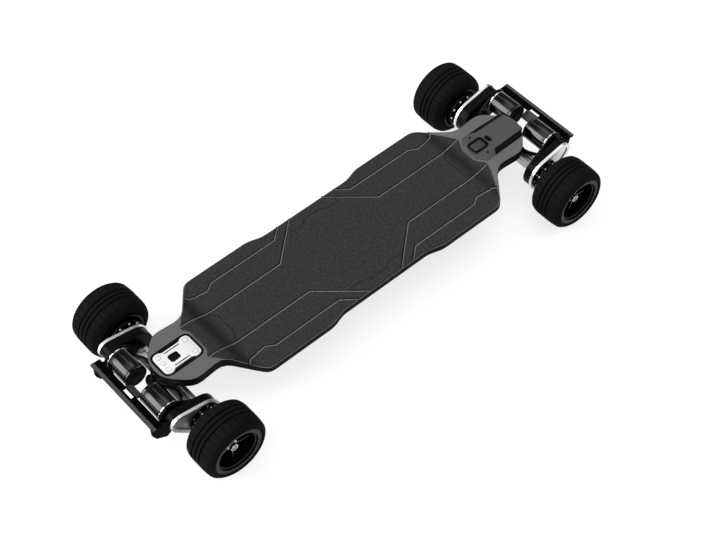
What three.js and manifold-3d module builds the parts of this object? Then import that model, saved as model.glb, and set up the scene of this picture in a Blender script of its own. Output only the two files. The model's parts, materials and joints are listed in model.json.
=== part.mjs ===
// An electric mountainboard with four driven wheels.
//
// The frame: millimetres, +Z up, the ground at z = 0, the origin under the middle of the board.
// The nose points along -X and the tail along +X. The rider's left is -Y and the right is +Y.
//
// Each truck is built once in a frame of its own, with its origin on the ground under the axle
// and +X pointing outboard, away from the middle of the board.

import * as THREE from 'three';
import { mergeVertices } from 'three/addons/utils/BufferGeometryUtils.js';
import Module from 'manifold-3d';

const wasm = await Module();
wasm.setup();

// Driving sizes of the whole board
const boardLength = 1026;
const track = 384;
const wheelDiameter = 152;
const tyreWidth = 96;
const axleDiameter = 12;
const platformTop = 112;
const tongueRise = 16;

// Clearances
const fitGap = 0.3;
const runningGap = 1;
const overrun = 2;

const axleHeight = wheelDiameter / 2;
const axleRadius = axleDiameter / 2;
const wheelY = track / 2;
const tip = boardLength / 2;

// Number of flat faces on round shapes
const smallRoundFaces = 12;
const middleRoundFaces = 16;
const largeRoundFaces = 20;
const endArcFaces = 6;
const cornerFaces = 3;
const boltFaces = 6;

// Materials
const material = (color, roughness, metalness) =>
  new THREE.MeshStandardMaterial({ color, roughness, metalness });
const materials = {
  deckShell: material(0x2b2b2a, 0.45, 0),
  gripMat: material(0x3a3a39, 0.95, 0),
  tyreRubber: material(0x1c1c1a, 0.85, 0),
  hubBlack: material(0x101010, 0.4, 0.3),
  castBlack: material(0x0c0c0b, 0.4, 0.5),
  motorBlack: material(0x131312, 0.25, 0.8),
  brightAluminium: material(0xd9d9d4, 0.3, 0.9),
  forgedGrey: material(0x9a9a96, 0.4, 0.9),
  platePearl: material(0xececea, 0.35, 0.3),
  consoleGrey: material(0x5a5a58, 0.6, 0),
  urethane: material(0x0a0a0a, 0.6, 0),
  steel: material(0xb8b8b4, 0.3, 1),
  beltRubber: material(0x161616, 0.9, 0),
  plasticBlack: material(0x151515, 0.5, 0),
  cellWrap: material(0x27408b, 0.5, 0),
};

// Solids and placing

// Turns a closed three.js geometry into a solid, with its faces pointing out.
function solid(geometry) {
  const bare = new THREE.BufferGeometry();
  bare.setAttribute('position', geometry.getAttribute('position').clone());
  if (geometry.index) bare.setIndex(geometry.index.clone());
  const merged = mergeVertices(bare, 1e-4);
  const places = merged.getAttribute('position').array;
  const corners = Array.from(merged.index.array);
  if (signedVolume(places, corners) < 0) flip(corners);
  return new wasm.Manifold(new wasm.Mesh({
    numProp: 3,
    vertProperties: new Float32Array(places),
    triVerts: new Uint32Array(corners),
  }));
}

function signedVolume(places, corners) {
  const [a, b, c] = [new THREE.Vector3(), new THREE.Vector3(), new THREE.Vector3()];
  let volume = 0;
  for (let i = 0; i < corners.length; i += 3) {
    a.fromArray(places, corners[i] * 3);
    b.fromArray(places, corners[i + 1] * 3);
    c.fromArray(places, corners[i + 2] * 3);
    volume += a.dot(b.cross(c));
  }
  return volume;
}

function flip(corners) {
  for (let i = 0; i < corners.length; i += 3) {
    [corners[i + 1], corners[i + 2]] = [corners[i + 2], corners[i + 1]];
  }
}

// A named mesh of a solid. side is -1 for a copy mirrored to the other side of the centre line.
function piece(name, shape, finish, side = 1) {
  const { vertProperties, triVerts } = shape.getMesh();
  const places = Float32Array.from(vertProperties, (v, i) => (i % 3 === 1 ? v * side : v));
  const corners = Array.from(triVerts);
  if (side < 0) flip(corners);
  const geometry = new THREE.BufferGeometry();
  geometry.setAttribute('position', new THREE.BufferAttribute(places, 3));
  geometry.setIndex(corners);
  geometry.computeVertexNormals();
  const mesh = new THREE.Mesh(geometry, finish);
  mesh.name = name;
  return mesh;
}

const joined = (shapes) => shapes.reduce((all, next) => all.add(next));
const cut = (shape, tools) => tools.reduce((rest, tool) => rest.subtract(tool), shape);

// A flat outline in X and Y, raised from one height to another.
function raised(shape, bottom, top, faces = cornerFaces) {
  const geometry = new THREE.ExtrudeGeometry(shape, {
    depth: top - bottom, bevelEnabled: false, curveSegments: faces,
  });
  geometry.translate(0, 0, bottom);
  return solid(geometry);
}

// A side outline, drawn in X and Z, run across the board from one Y to another.
function across(shape, from, to, faces = cornerFaces) {
  const geometry = new THREE.ExtrudeGeometry(shape, {
    depth: to - from, bevelEnabled: false, curveSegments: faces,
  });
  geometry.rotateX(Math.PI / 2);
  geometry.translate(0, to, 0);
  return solid(geometry);
}

// A closed profile of [radius, y] points turned about an axis along Y through (x, z).
function turned(profile, x, z, faces = largeRoundFaces) {
  const points = [...profile, profile[0]].map(([r, y]) => new THREE.Vector2(r, y));
  const geometry = new THREE.LatheGeometry(points, faces);
  geometry.translate(x, 0, z);
  return solid(geometry);
}

// A round bar along Y through (x, z).
function bar(radius, from, to, x, z, faces = smallRoundFaces) {
  const geometry = new THREE.CylinderGeometry(radius, radius, to - from, faces);
  geometry.translate(x, (from + to) / 2, z);
  return solid(geometry);
}

function block(x0, x1, y0, y1, z0, z1) {
  const geometry = new THREE.BoxGeometry(x1 - x0, y1 - y0, z1 - z0);
  geometry.translate((x0 + x1) / 2, (y0 + y1) / 2, (z0 + z1) / 2);
  return solid(geometry);
}

// A closed outline through corners [x, y, round], where round is how far from the corner the
// curve starts. A corner without one stays sharp.
function rounded(corners) {
  const shape = new THREE.Shape();
  const at = corners.map(([x, y]) => new THREE.Vector2(x, y));
  corners.forEach(([x, y, round = 0], i) => {
    const before = at[(i + corners.length - 1) % corners.length];
    const after = at[(i + 1) % corners.length];
    const start = before.clone().sub(at[i]).setLength(round).add(at[i]);
    const end = after.clone().sub(at[i]).setLength(round).add(at[i]);
    if (i === 0) shape.moveTo(start.x, start.y);
    else shape.lineTo(start.x, start.y);
    if (round > 0) shape.quadraticCurveTo(x, y, end.x, end.y);
  });
  shape.closePath();
  return shape;
}

// Moves every side of a counter-clockwise outline inwards by a distance.
function inset(corners, distance) {
  const count = corners.length;
  const sides = corners.map(([x, y], i) => {
    const [nextX, nextY] = corners[(i + 1) % count];
    const along = new THREE.Vector2(nextX - x, nextY - y).normalize();
    return { x: x - along.y * distance, y: y + along.x * distance, along };
  });
  return corners.map(([, , round], i) => {
    const before = sides[(i + count - 1) % count];
    const after = sides[i];
    const turn = before.along.cross(after.along);
    const gapX = after.x - before.x;
    const gapY = after.y - before.y;
    const reach = (gapX * after.along.y - gapY * after.along.x) / turn;
    return [before.x + before.along.x * reach, before.y + before.along.y * reach, round];
  });
}

// The band that wraps two circles, like a belt round two pulleys, as an outline.
function wrapped(first, second, spread = 0) {
  const heading = Math.atan2(second.z - first.z, second.x - first.x);
  const apart = Math.hypot(second.z - first.z, second.x - first.x);
  const lean = Math.acos((first.radius - second.radius) / apart);
  const shape = new THREE.Shape();
  shape.absarc(first.x, first.z, first.radius + spread, heading + lean, heading - lean + 2 * Math.PI);
  shape.absarc(second.x, second.z, second.radius + spread, heading - lean, heading + lean);
  shape.closePath();
  return shape;
}

// The four corners and their mirror images of an outline that is given for x > 0 and y > 0,
// from the tip round to the middle of the side.
function fourWay(quarter) {
  const mirrored = (sx, sy) => quarter.map(([x, y, round]) => [x * sx, y * sy, round]);
  return [
    ...mirrored(1, 1),
    ...mirrored(-1, 1).reverse(),
    ...mirrored(-1, -1),
    ...mirrored(1, -1).reverse(),
  ];
}

// The deck: a wide low platform with a waist, and a narrow raised tongue at each end

const deck = {
  thickness: 14,
  skirtDepth: 23,
  skirtInner: 48,
  skirtFromTip: 121,
  rampFromTip: 118,
  rampLength: 65,
  platformHalfWidth: 145,
  waistHalfWidth: 134,
  tongueHalfWidth: 74,
  neckHalfWidth: 68,
  tipHalfWidth: 26,
  shoulderFromTip: 47,
  neckFromTip: 123,
  cornerFromTip: 184,
  axleFromTip: 26,
  waistOuter: 155,
  waistInner: 122,
  tipRound: 22,
  shoulderRound: 20,
  neckRound: 20,
  cornerRound: 14,
  waistRound: 12,
};
deck.skirtFrom = tip - deck.skirtFromTip;
deck.rampEnd = tip - deck.rampFromTip;
deck.rampStart = deck.rampEnd - deck.rampLength;
const truckX = tip - deck.axleFromTip;
const tongueTop = platformTop + tongueRise;
const tongueBottom = tongueTop - deck.thickness;
const platformBottom = platformTop - deck.thickness;

const deckCorners = fourWay([
  [tip, deck.tipHalfWidth, deck.tipRound],
  [tip - deck.shoulderFromTip, deck.tongueHalfWidth, deck.shoulderRound],
  [tip - deck.neckFromTip, deck.neckHalfWidth, deck.neckRound],
  [tip - deck.cornerFromTip, deck.platformHalfWidth, deck.cornerRound],
  [deck.waistOuter, deck.platformHalfWidth, deck.waistRound],
  [deck.waistInner, deck.waistHalfWidth, deck.waistRound],
]);

const rampSteps = 4;

// How far the deck has risen at a place along it: a smooth step over the ramp.
function rise(x) {
  const share = THREE.MathUtils.clamp((Math.abs(x) - deck.rampStart) / deck.rampLength, 0, 1);
  return tongueRise * share * share * (3 - 2 * share);
}

// A layer that follows the deck's rise from nose to tail, as a side outline. sink is how much
// lower than the platform's underside its own lies at the ends.
function layer(bottom, top, sink = 0) {
  const halfLength = tip + overrun;
  const stations = [-halfLength];
  for (const end of [-1, 1]) {
    for (let step = 0; step <= rampSteps; step += 1) {
      const share = (end < 0 ? rampSteps - step : step) / rampSteps;
      stations.push(end * (deck.rampStart + deck.rampLength * share));
    }
  }
  stations.push(halfLength);
  const upper = stations.map((x) => new THREE.Vector2(x, top + rise(x)));
  const lower = stations.map((x) => new THREE.Vector2(x, bottom + rise(x) * (1 - sink / tongueRise)));
  return new THREE.Shape([...lower, ...upper.reverse()]);
}

const wide = deck.platformHalfWidth + overrun;

function followingDeck(outline, bottom, top, faces = cornerFaces, sink = 0) {
  const tall = raised(outline, platformBottom - deck.thickness, tongueTop + deck.thickness, faces);
  return tall.intersect(across(layer(bottom, top, sink), -wide, wide));
}

// The bolted plate on the nose, in its pocket
const nosePlate = {
  fromTip: 13,
  length: 91,
  halfWidth: 28.5,
  waistHalfWidth: 23.5,
  waistLength: 44,
  waistRamp: 6,
  waistRound: 3.5,
  cornerRound: 12,
  thickness: 3,
  proud: 1.2,
  pocketMargin: 5,
  windowLength: 22,
  windowWidth: 18,
  windowRound: 7,
  windowOffset: 7,
  boltInset: 11,
  boltHeadRadius: 4.5,
  boltHeadHeight: 0.8,
};
nosePlate.outboard = tip - nosePlate.fromTip;
nosePlate.inboard = nosePlate.outboard - nosePlate.length;
nosePlate.middle = (nosePlate.inboard + nosePlate.outboard) / 2;
nosePlate.pocketDepth = nosePlate.thickness + fitGap - nosePlate.proud;

// The raised console on the tail
const tailConsole = {
  inboardFromTip: 141,
  inboardHalfWidth: 20,
  shoulderFromTip: 125,
  shoulderHalfWidth: 44,
  outboardHalfWidth: 41,
  sideRun: 12,
  height: 7,
  edgeGap: 1.5,
  bezelFromTip: 117,
  bezelLength: 44,
  bezelWidth: 34,
  bezelRound: 9,
  bezelRim: 3.5,
  bezelHeight: 1.4,
  screenDrop: 1.8,
  buttonFromTip: 85,
};
const button = {
  length: 20,
  width: 10.5,
  height: 3.4,
  proud: 0.8,
  travel: 1,
};

function makeDeck() {
  const sink = deck.skirtDepth - deck.thickness;
  const body = followingDeck(rounded(deckCorners), platformBottom, platformTop, cornerFaces, sink);
  const hollows = [-1, 1].map((end) => {
    const reach = end * (tip + overrun);
    const from = end * deck.skirtFrom;
    return block(
      Math.min(from, reach), Math.max(from, reach), -deck.skirtInner, deck.skirtInner,
      platformBottom - deck.thickness, tongueBottom,
    );
  });
  const { middle, length, halfWidth, cornerRound, pocketMargin, pocketDepth } = nosePlate;
  const mouth = fourWay([[length / 2 + pocketMargin, halfWidth + pocketMargin, cornerRound + pocketMargin]])
    .map(([x, y, round]) => [x - middle, y, round]);
  const pocket = raised(rounded(mouth), tongueTop - pocketDepth, tongueTop + overrun);
  return piece('deck', cut(body, [pocket, ...hollows]), materials.deckShell);
}

// The grip mat, with its long grooves

const mat = {
  thickness: 2,
  edge: 3,
  noseEndFromTip: 102,
  noseEndHalfWidth: 45,
  noseShoulderFromTip: 133,
  noseShoulderHalfWidth: 80,
  plateGap: 4,
  noseNotchHalfWidth: 30,
  tailEndFromTip: 133,
  tailEndHalfWidth: 46,
  tailShoulderFromTip: 141,
  tailShoulderHalfWidth: 66,
  consoleGap: 6,
  endRound: 3,
  grooveWidth: 2.6,
  grooveDepth: 1,
};
mat.noseEnd = tip - mat.noseEndFromTip;
mat.noseShoulder = tip - mat.noseShoulderFromTip;
mat.noseNotch = nosePlate.inboard - nosePlate.pocketMargin - mat.plateGap;
mat.tailEnd = tip - mat.tailEndFromTip;
mat.tailShoulder = tip - mat.tailShoulderFromTip;
mat.tailNotch = tip - tailConsole.inboardFromTip - mat.consoleGap;
const matBottom = platformTop + fitGap;
const matTop = matBottom + mat.thickness;

// Where the grooves run, for x > 0 and y > 0. Each follows the board, then turns off to the edge. The
// outer one's steps are measured from the tip.
const grooves = {
  innerY: 48.5,
  innerBend: 141,
  innerEdge: 45,
  outerY: 107,
  outerBend: 109.5,
  outerEdge: 78,
  turnFromTip: 230,
  stepFromTip: 211,
  stepY: 95,
  riseFromTip: 168,
  riseY: 101,
  endFromTip: 159,
  endY: 112,
};

function makeGripMat() {
  const trimmed = raised(rounded([
    [mat.tailNotch, tailConsole.inboardHalfWidth, mat.endRound],
    [mat.tailEnd, mat.tailEndHalfWidth, mat.endRound],
    [mat.tailShoulder, mat.tailShoulderHalfWidth, mat.endRound],
    [deck.rampStart, wide],
    [-deck.rampStart, wide],
    [-mat.noseShoulder, mat.noseShoulderHalfWidth, mat.endRound],
    [-mat.noseEnd, mat.noseEndHalfWidth, mat.endRound],
    [-mat.noseNotch, mat.noseNotchHalfWidth, mat.endRound],
    [-mat.noseNotch, -mat.noseNotchHalfWidth, mat.endRound],
    [-mat.noseEnd, -mat.noseEndHalfWidth, mat.endRound],
    [-mat.noseShoulder, -mat.noseShoulderHalfWidth, mat.endRound],
    [-deck.rampStart, -wide],
    [deck.rampStart, -wide],
    [mat.tailShoulder, -mat.tailShoulderHalfWidth, mat.endRound],
    [mat.tailEnd, -mat.tailEndHalfWidth, mat.endRound],
    [mat.tailNotch, -tailConsole.inboardHalfWidth, mat.endRound],
  ]), platformBottom, tongueTop + deck.thickness, 1);
  const body = followingDeck(rounded(inset(deckCorners, mat.edge)), matBottom, matTop, 2).intersect(trimmed);
  const edgeY = deck.waistHalfWidth;
  const runs = [
    [[mat.noseEnd, grooves.innerY], [grooves.innerBend, grooves.innerY], [grooves.innerEdge, edgeY]],
    [
      [tip - grooves.endFromTip, grooves.endY], [tip - grooves.riseFromTip, grooves.riseY],
      [tip - grooves.stepFromTip, grooves.stepY], [tip - grooves.turnFromTip, grooves.outerY],
      [grooves.outerBend, grooves.outerY], [grooves.outerEdge, edgeY],
    ],
  ];
  const ribbons = [];
  for (const sx of [-1, 1]) {
    for (const sy of [-1, 1]) {
      for (const run of runs) ribbons.push(...ribbonAlong(run.map(([x, y]) => [x * sx, y * sy])));
    }
  }
  const skin = across(layer(matTop - mat.grooveDepth, matTop + overrun), -wide, wide);
  return piece('grip_mat', body.subtract(joined(ribbons).intersect(skin)), materials.gripMat);
}

// Upright strips, one for each stretch of a groove.
function ribbonAlong(run) {
  return run.slice(1).map(([x, y], i) => {
    const [fromX, fromY] = run[i];
    const length = Math.hypot(x - fromX, y - fromY) + mat.grooveWidth;
    const strip = new THREE.BoxGeometry(length, mat.grooveWidth, tongueTop);
    strip.rotateZ(Math.atan2(y - fromY, x - fromX));
    strip.translate((x + fromX) / 2, (y + fromY) / 2, tongueTop);
    return solid(strip);
  });
}

function makeNosePlate() {
  const p = nosePlate;
  const waistEnd = p.waistLength / 2;
  const quarter = [
    [p.outboard - p.middle, p.halfWidth, p.cornerRound],
    [waistEnd + p.waistRamp, p.halfWidth, p.waistRound],
    [waistEnd, p.waistHalfWidth, p.waistRound],
  ];
  const bottom = tongueTop - p.pocketDepth + fitGap;
  const top = bottom + p.thickness;
  const outline = fourWay(quarter).map(([x, y, round]) => [x - p.middle, y, round]);
  const windowX = -p.middle - p.windowOffset;
  const windowCorners = fourWay([[p.windowLength / 2, p.windowWidth / 2, p.windowRound]]);
  const opening = raised(
    rounded(windowCorners.map(([x, y, round]) => [x + windowX, y, round])), bottom - overrun, top + overrun,
  );
  const near = -p.inboard - p.boltInset;
  const far = -p.outboard + p.boltInset;
  const side = p.halfWidth - p.boltInset;
  const heads = [[near, side], [near, -side], [far, side], [far, 0], [far, -side]].map(([x, y]) => {
    const radius = p.boltHeadRadius;
    const head = new THREE.CylinderGeometry(radius, radius, p.boltHeadHeight * 2, boltFaces);
    head.rotateX(Math.PI / 2);
    head.translate(x, y, top);
    return solid(head);
  });
  const plate = raised(rounded(outline), bottom, top).subtract(opening);
  return piece('nose_plate', joined([plate, ...heads]), materials.platePearl);
}

function makeConsole() {
  const c = tailConsole;
  const bottom = tongueTop + fitGap;
  const top = bottom + c.height;
  const inboard = tip - c.inboardFromTip;
  const shoulder = tip - c.shoulderFromTip;
  const beyond = tip + c.sideRun + overrun;
  const foot = [
    [inboard, -c.inboardHalfWidth], [shoulder, -c.shoulderHalfWidth], [beyond, -c.outboardHalfWidth],
    [beyond, c.outboardHalfWidth], [shoulder, c.shoulderHalfWidth], [inboard, c.inboardHalfWidth],
  ];
  const edge = raised(rounded(inset(deckCorners, c.edgeGap)), bottom - overrun, top + overrun);
  const body = tapered(foot, inset(foot, c.sideRun), bottom, top).intersect(edge);
  const bezel = fourWay([[c.bezelLength / 2, c.bezelWidth / 2, c.bezelRound]])
    .map(([x, y, round]) => [x + tip - c.bezelFromTip, y, round]);
  const rim = raised(rounded(bezel), bottom, top + c.bezelHeight);
  const screen = raised(
    rounded(inset(bezel, c.bezelRim)), top + c.bezelHeight - c.screenDrop, top + c.bezelHeight + overrun,
  );
  const slotDepth = button.height - button.proud + button.travel + fitGap;
  const slot = raised(buttonOutline(fitGap), top - slotDepth, top + overrun, endArcFaces / 2);
  return piece('tail_console', body.add(rim).subtract(screen).subtract(slot), materials.consoleGrey);
}

// A solid between two flat outlines with as many corners each.
function tapered(lower, upper, bottom, top) {
  const count = lower.length;
  const places = [
    ...lower.flatMap(([x, y]) => [x, y, bottom]),
    ...upper.flatMap(([x, y]) => [x, y, top]),
  ];
  const flat = lower.map(([x, y]) => new THREE.Vector2(x, y));
  const corners = THREE.ShapeUtils.triangulateShape(flat, [])
    .flatMap(([a, b, c]) => [a, c, b, a + count, b + count, c + count]);
  for (let i = 0; i < count; i += 1) {
    const next = (i + 1) % count;
    corners.push(i, next, next + count, i, next + count, i + count);
  }
  const geometry = new THREE.BufferGeometry();
  geometry.setAttribute('position', new THREE.Float32BufferAttribute(places, 3));
  geometry.setIndex(corners);
  return solid(geometry);
}

// The round-ended power button lies across the board.
function buttonOutline(spread) {
  const radius = button.width / 2;
  const shape = new THREE.Shape();
  const reach = button.length / 2 - radius;
  const middle = tip - tailConsole.buttonFromTip;
  shape.absarc(middle, reach, radius + spread, 0, Math.PI);
  shape.absarc(middle, -reach, radius + spread, Math.PI, 2 * Math.PI);
  shape.closePath();
  return shape;
}

function makeButton() {
  const top = tongueTop + fitGap + tailConsole.height + button.proud;
  const shape = raised(buttonOutline(0), top - button.height, top, endArcFaces / 2);
  return piece('power_button', shape, materials.plasticBlack);
}

// The enclosure under the platform, and what it holds

const enclosure = {
  flangeInset: 7,
  flangeDepth: 10,
  flangeWaistInset: 12,
  rampGap: 12,
  flangeLength: 22,
  tubHalfWidth: 112,
  tubDepth: 38,
  tubTaper: 12,
  tubRound: 20,
  wall: 3,
};
enclosure.flangeEnd = deck.rampStart - enclosure.rampGap;
enclosure.tubHalfLength = enclosure.flangeEnd - enclosure.flangeLength;

// The controller lies at the tail end of the tub, and the battery fills the rest.
const controller = {
  endGap: 28, length: 98, halfWidth: 74, height: 24, finHeight: 3, finPitch: 9, finWidth: 3,
};
controller.to = enclosure.tubHalfLength - controller.endGap;
controller.from = controller.to - controller.length;
const battery = { endGap: 20, halfWidth: 88, height: 26 };
battery.from = battery.endGap - enclosure.tubHalfLength;
battery.to = controller.from - battery.endGap;
const enclosureTop = platformBottom - fitGap;
const enclosureFloor = enclosureTop - enclosure.tubDepth + enclosure.wall;

function makeEnclosure() {
  const e = enclosure;
  const flange = fourWay([
    [e.flangeEnd, deck.platformHalfWidth - e.flangeInset, deck.cornerRound],
    [deck.waistOuter, deck.platformHalfWidth - e.flangeInset, deck.waistRound],
    [deck.waistInner, deck.waistHalfWidth - e.flangeWaistInset, deck.waistRound],
  ]);
  const rim = raised(rounded(flange), enclosureTop - e.flangeDepth, enclosureTop);
  const tub = tubSolid(0, enclosureTop - e.tubDepth, enclosureTop - e.flangeDepth + overrun);
  const hollow = tubSolid(e.wall, enclosureFloor, enclosureTop + overrun);
  return piece('enclosure', rim.add(tub).subtract(hollow), materials.plasticBlack);
}

// The sloping-sided tub, or the hollow inside it when thinner is its wall.
function tubSolid(thinner, bottom, top) {
  const e = enclosure;
  const length = e.tubHalfLength - thinner;
  const width = e.tubHalfWidth - thinner;
  const chamfer = e.tubRound;
  const upper = [
    [-length, chamfer - width], [chamfer - length, -width],
    [length - chamfer, -width], [length, chamfer - width],
    [length, width - chamfer], [length - chamfer, width],
    [chamfer - length, width], [-length, width - chamfer],
  ];
  return tapered(inset(upper, e.tubTaper), upper, bottom, top);
}

function makeBattery() {
  const floor = enclosureFloor + fitGap;
  const b = battery;
  const shape = block(b.from, b.to, -b.halfWidth, b.halfWidth, floor, floor + b.height);
  return piece('battery', shape, materials.cellWrap);
}

function makeController() {
  const c = controller;
  const floor = enclosureFloor + fitGap;
  const base = block(c.from, c.to, -c.halfWidth, c.halfWidth, floor, floor + c.height - c.finHeight);
  const fins = [];
  for (let x = c.from + c.finWidth; x + c.finWidth <= c.to; x += c.finPitch) {
    fins.push(block(x, x + c.finWidth, -c.halfWidth, c.halfWidth, floor, floor + c.height));
  }
  return piece('motor_controller', joined([base, ...fins]), materials.forgedGrey);
}

// The truck, drawn in its own frame

const kingpin = {
  slope: THREE.MathUtils.degToRad(30),
  domeX: 38,
  domeZ: 104,
  domeAt: 84,
  radius: 5,
  headLength: 6,
  headRadius: 9,
  capRadius: 13,
  capLength: 10,
  domeShares: [[0.3, 0.7], [1, 1]],
};
const truckBase = {
  legStart: 0.3,
  legEnd: 16,
  bossRadius: 15,
  plateThickness: 6,
  plateInboard: -84,
  plateOutboard: 6,
  plateHalfWidth: 26,
  legHalfWidth: 13,
  legInboard: -66,
  legFoot: -44,
  legOutboard: -30,
};
const hanger = {
  barrelStart: 34,
  barrelEnd: 60,
  barrelRadius: 15,
  armHalfLength: 14,
  armHeight: 16,
  slotHalfLength: 6,
  slotDepth: 4.5,
  slotFrom: 30,
  slotEndGap: 2.3,
  spigotRadius: 10,
  spindleReach: 29,
};
const bushing = { radius: 13, waistRadius: 11.5 };

// Thicknesses from the inside of the wheel inwards. The motor fills what is left to the middle.
const wheelInnerY = wheelY - tyreWidth / 2;
const stack = {
  wheelGap: 17.7,
  rimPlate: 7,
  cover: 20,
  endPlate: 4.4,
  mount: 5.4,
  flange: 4,
  motorToMiddle: 22,
};
const rimPlateTo = wheelInnerY - stack.wheelGap;
const rimPlateFrom = rimPlateTo - stack.rimPlate;
const coverTo = rimPlateFrom - fitGap;
const coverFrom = coverTo - stack.cover;
const endPlateTo = coverFrom - fitGap;
const endPlateFrom = endPlateTo - stack.endPlate;
const mountTo = endPlateFrom - fitGap;
const mountFrom = mountTo - stack.mount;
const flangeTo = mountFrom - fitGap;
const flangeFrom = flangeTo - stack.flange;
const rotorTo = flangeFrom - fitGap;
const rotorFrom = stack.motorToMiddle;

const motor = {
  x: 56,
  z: 108,
  radius: 27,
  wall: 2.5,
  shaftRadius: 4,
  statorTube: 7,
  airGap: 0.7,
  endWall: 5,
  statorFrom: 12,
  statorTo: 8,
  ringRadius: 26.5,
};
const pulley = {
  teeth: 36,
  pinionTeeth: 15,
  radius: 28,
  width: 14,
  sleeveRadius: 15,
  sleeveHole: 17,
  flangeRadius: 34,
  flangeThickness: 8,
  flangeSet: 12.7,
  boltCircle: 26,
  boltRadius: 4,
  boltHeight: 2.5,
  bolts: 5,
};
pulley.pinionRadius = pulley.radius * pulley.pinionTeeth / pulley.teeth;
const belt = { thickness: 3, width: 12, gap: 0.6 };
const cover = {
  axleRadius: 40,
  motorRadius: 20,
  wall: 2.6,
  plateSpread: 2.5,
  pocketInset: 6,
  pocketDepth: 2.4,
};
const mountPlate = {
  axleRadius: 18,
  motorRadius: 29,
  braceHeight: 8,
  braceWidth: 6,
  braceInnerX: 23,
  braceInnerY: 17,
  braceBowX: 8,
  braceBowShare: 0.49,
  braceOuterX: 26,
};
const guard = {
  overhang: 8.8,
  lipOuter: 110,
  lipTop: 113.5,
  lipWidth: 8,
  lipDepth: 6,
  shelfDrop: 1.5,
  shelfGap: 1.5,
  sheet: 3,
  tongueLength: 17,
  tongueDrop: 12.4,
  tongueGap: 2.5,
  endRadius: 5,
  endDip: 15,
  endReach: 18,
  endCornerZ: 84,
  endKneeX: 101,
  endKneeZ: 66,
  endFootX: 76,
  endFootZ: 50,
  slotMargin: 2.5,
  slotWidth: 7.3,
  slotHalfLength: 14,
};

// Puts a geometry that stands on the origin along +Y onto the kingpin's line instead.
function onKingpin(geometry, start) {
  const direction = new THREE.Vector3(Math.cos(kingpin.slope), 0, Math.sin(kingpin.slope));
  const turn = new THREE.Quaternion().setFromUnitVectors(new THREE.Vector3(0, 1, 0), direction);
  geometry.applyQuaternion(turn);
  const point = direction.clone().multiplyScalar(start - kingpin.domeAt);
  geometry.translate(kingpin.domeX + point.x, 0, kingpin.domeZ + point.z);
  return solid(geometry);
}

function kingpinDisc(radius, start, end, faces = smallRoundFaces) {
  const geometry = new THREE.CylinderGeometry(radius, radius, end - start, faces);
  geometry.translate(0, (end - start) / 2, 0);
  return onKingpin(geometry, start);
}

function kingpinTurned(profile, start, faces = smallRoundFaces) {
  const points = [...profile, profile[0]].map(([r, y]) => new THREE.Vector2(r, y));
  return onKingpin(new THREE.LatheGeometry(points, faces), start);
}

const capStart = kingpin.domeAt - kingpin.capLength / 2;
const pinHole = kingpin.radius + fitGap;

function makeTruckBase(end) {
  const t = truckBase;
  const top = tongueBottom - fitGap;
  const bottom = top - t.plateThickness;
  const plate = block(t.plateInboard, t.plateOutboard, -t.plateHalfWidth, t.plateHalfWidth, bottom, top);
  const boss = kingpinDisc(t.bossRadius, t.legStart, t.legEnd);
  const footZ = kingpin.domeZ - (kingpin.domeX - t.legFoot) * Math.tan(kingpin.slope);
  const leg = across(new THREE.Shape([
    new THREE.Vector2(t.legInboard, bottom + fitGap),
    new THREE.Vector2(t.legFoot, footZ),
    new THREE.Vector2(t.legOutboard, footZ),
    new THREE.Vector2(t.legOutboard, bottom + fitGap),
  ]), -t.legHalfWidth, t.legHalfWidth);
  const clearance = kingpinDisc(bushing.radius + runningGap, t.legEnd, kingpin.domeAt);
  const headRoom = kingpinDisc(kingpin.headRadius + runningGap, -kingpin.headRadius * 2, t.legStart);
  const bore = kingpinDisc(pinHole, 0, t.legEnd + overrun);
  const shape = cut(joined([plate, boss, leg]), [clearance, headRoom, bore]);
  return piece(`truck_base_${end}`, shape, materials.castBlack);
}

function makeKingpin(end) {
  const k = kingpin;
  const rounding = k.capLength / 2;
  const shape = kingpinTurned([
    [0, -k.headLength], [k.headRadius, -k.headLength], [k.headRadius, 0], [k.radius, 0],
    [k.radius, capStart], [k.capRadius, capStart], [k.capRadius, k.domeAt],
    ...k.domeShares.map(([inShare, outShare]) => [
      k.capRadius - rounding * inShare, k.domeAt + rounding * outShare,
    ]),
    [0, k.domeAt + rounding + fitGap],
  ], 0);
  return piece(`kingpin_${end}`, shape, materials.castBlack);
}

function makeBushing(end, which, start, finish) {
  const length = finish - start;
  const shape = kingpinTurned([
    [pinHole, 0], [bushing.radius, 0], [bushing.waistRadius, length / 2], [bushing.radius, length],
    [pinHole, length],
  ], start);
  return piece(`bushing_${which}_${end}`, shape, materials.urethane);
}

function makeHanger(end) {
  const h = hanger;
  const spindleEnd = wheelY + h.spindleReach;
  const barrel = kingpinDisc(h.barrelRadius, h.barrelStart, h.barrelEnd);
  const half = h.armHeight / 2;
  const arms = block(
    -h.armHalfLength, h.armHalfLength, -flangeTo, flangeTo, axleHeight - half, axleHeight + half,
  );
  const slots = [-1, 1].flatMap((side) => [-1, 1].map((face) => {
    const near = side * h.slotFrom;
    const far = side * (flangeFrom - h.slotEndGap);
    const floor = axleHeight + face * (half - h.slotDepth);
    const mouth = axleHeight + face * (half + overrun);
    return block(
      -h.slotHalfLength, h.slotHalfLength, Math.min(near, far), Math.max(near, far),
      Math.min(floor, mouth), Math.max(floor, mouth),
    );
  }));
  const spigots = [[-endPlateTo, -flangeTo], [flangeTo, endPlateTo]]
    .map(([from, to]) => bar(h.spigotRadius, from, to, 0, axleHeight));
  const axle = bar(axleRadius, -spindleEnd, spindleEnd, 0, axleHeight);
  const legRoom = kingpinDisc(truckBase.bossRadius + runningGap, -h.barrelStart, h.barrelStart);
  const bore = kingpinDisc(pinHole, 0, kingpin.domeAt);
  const cuts = [...slots, legRoom, bore];
  return piece(`hanger_${end}`, cut(joined([barrel, arms, axle, ...spigots]), cuts), materials.forgedGrey);
}

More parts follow.
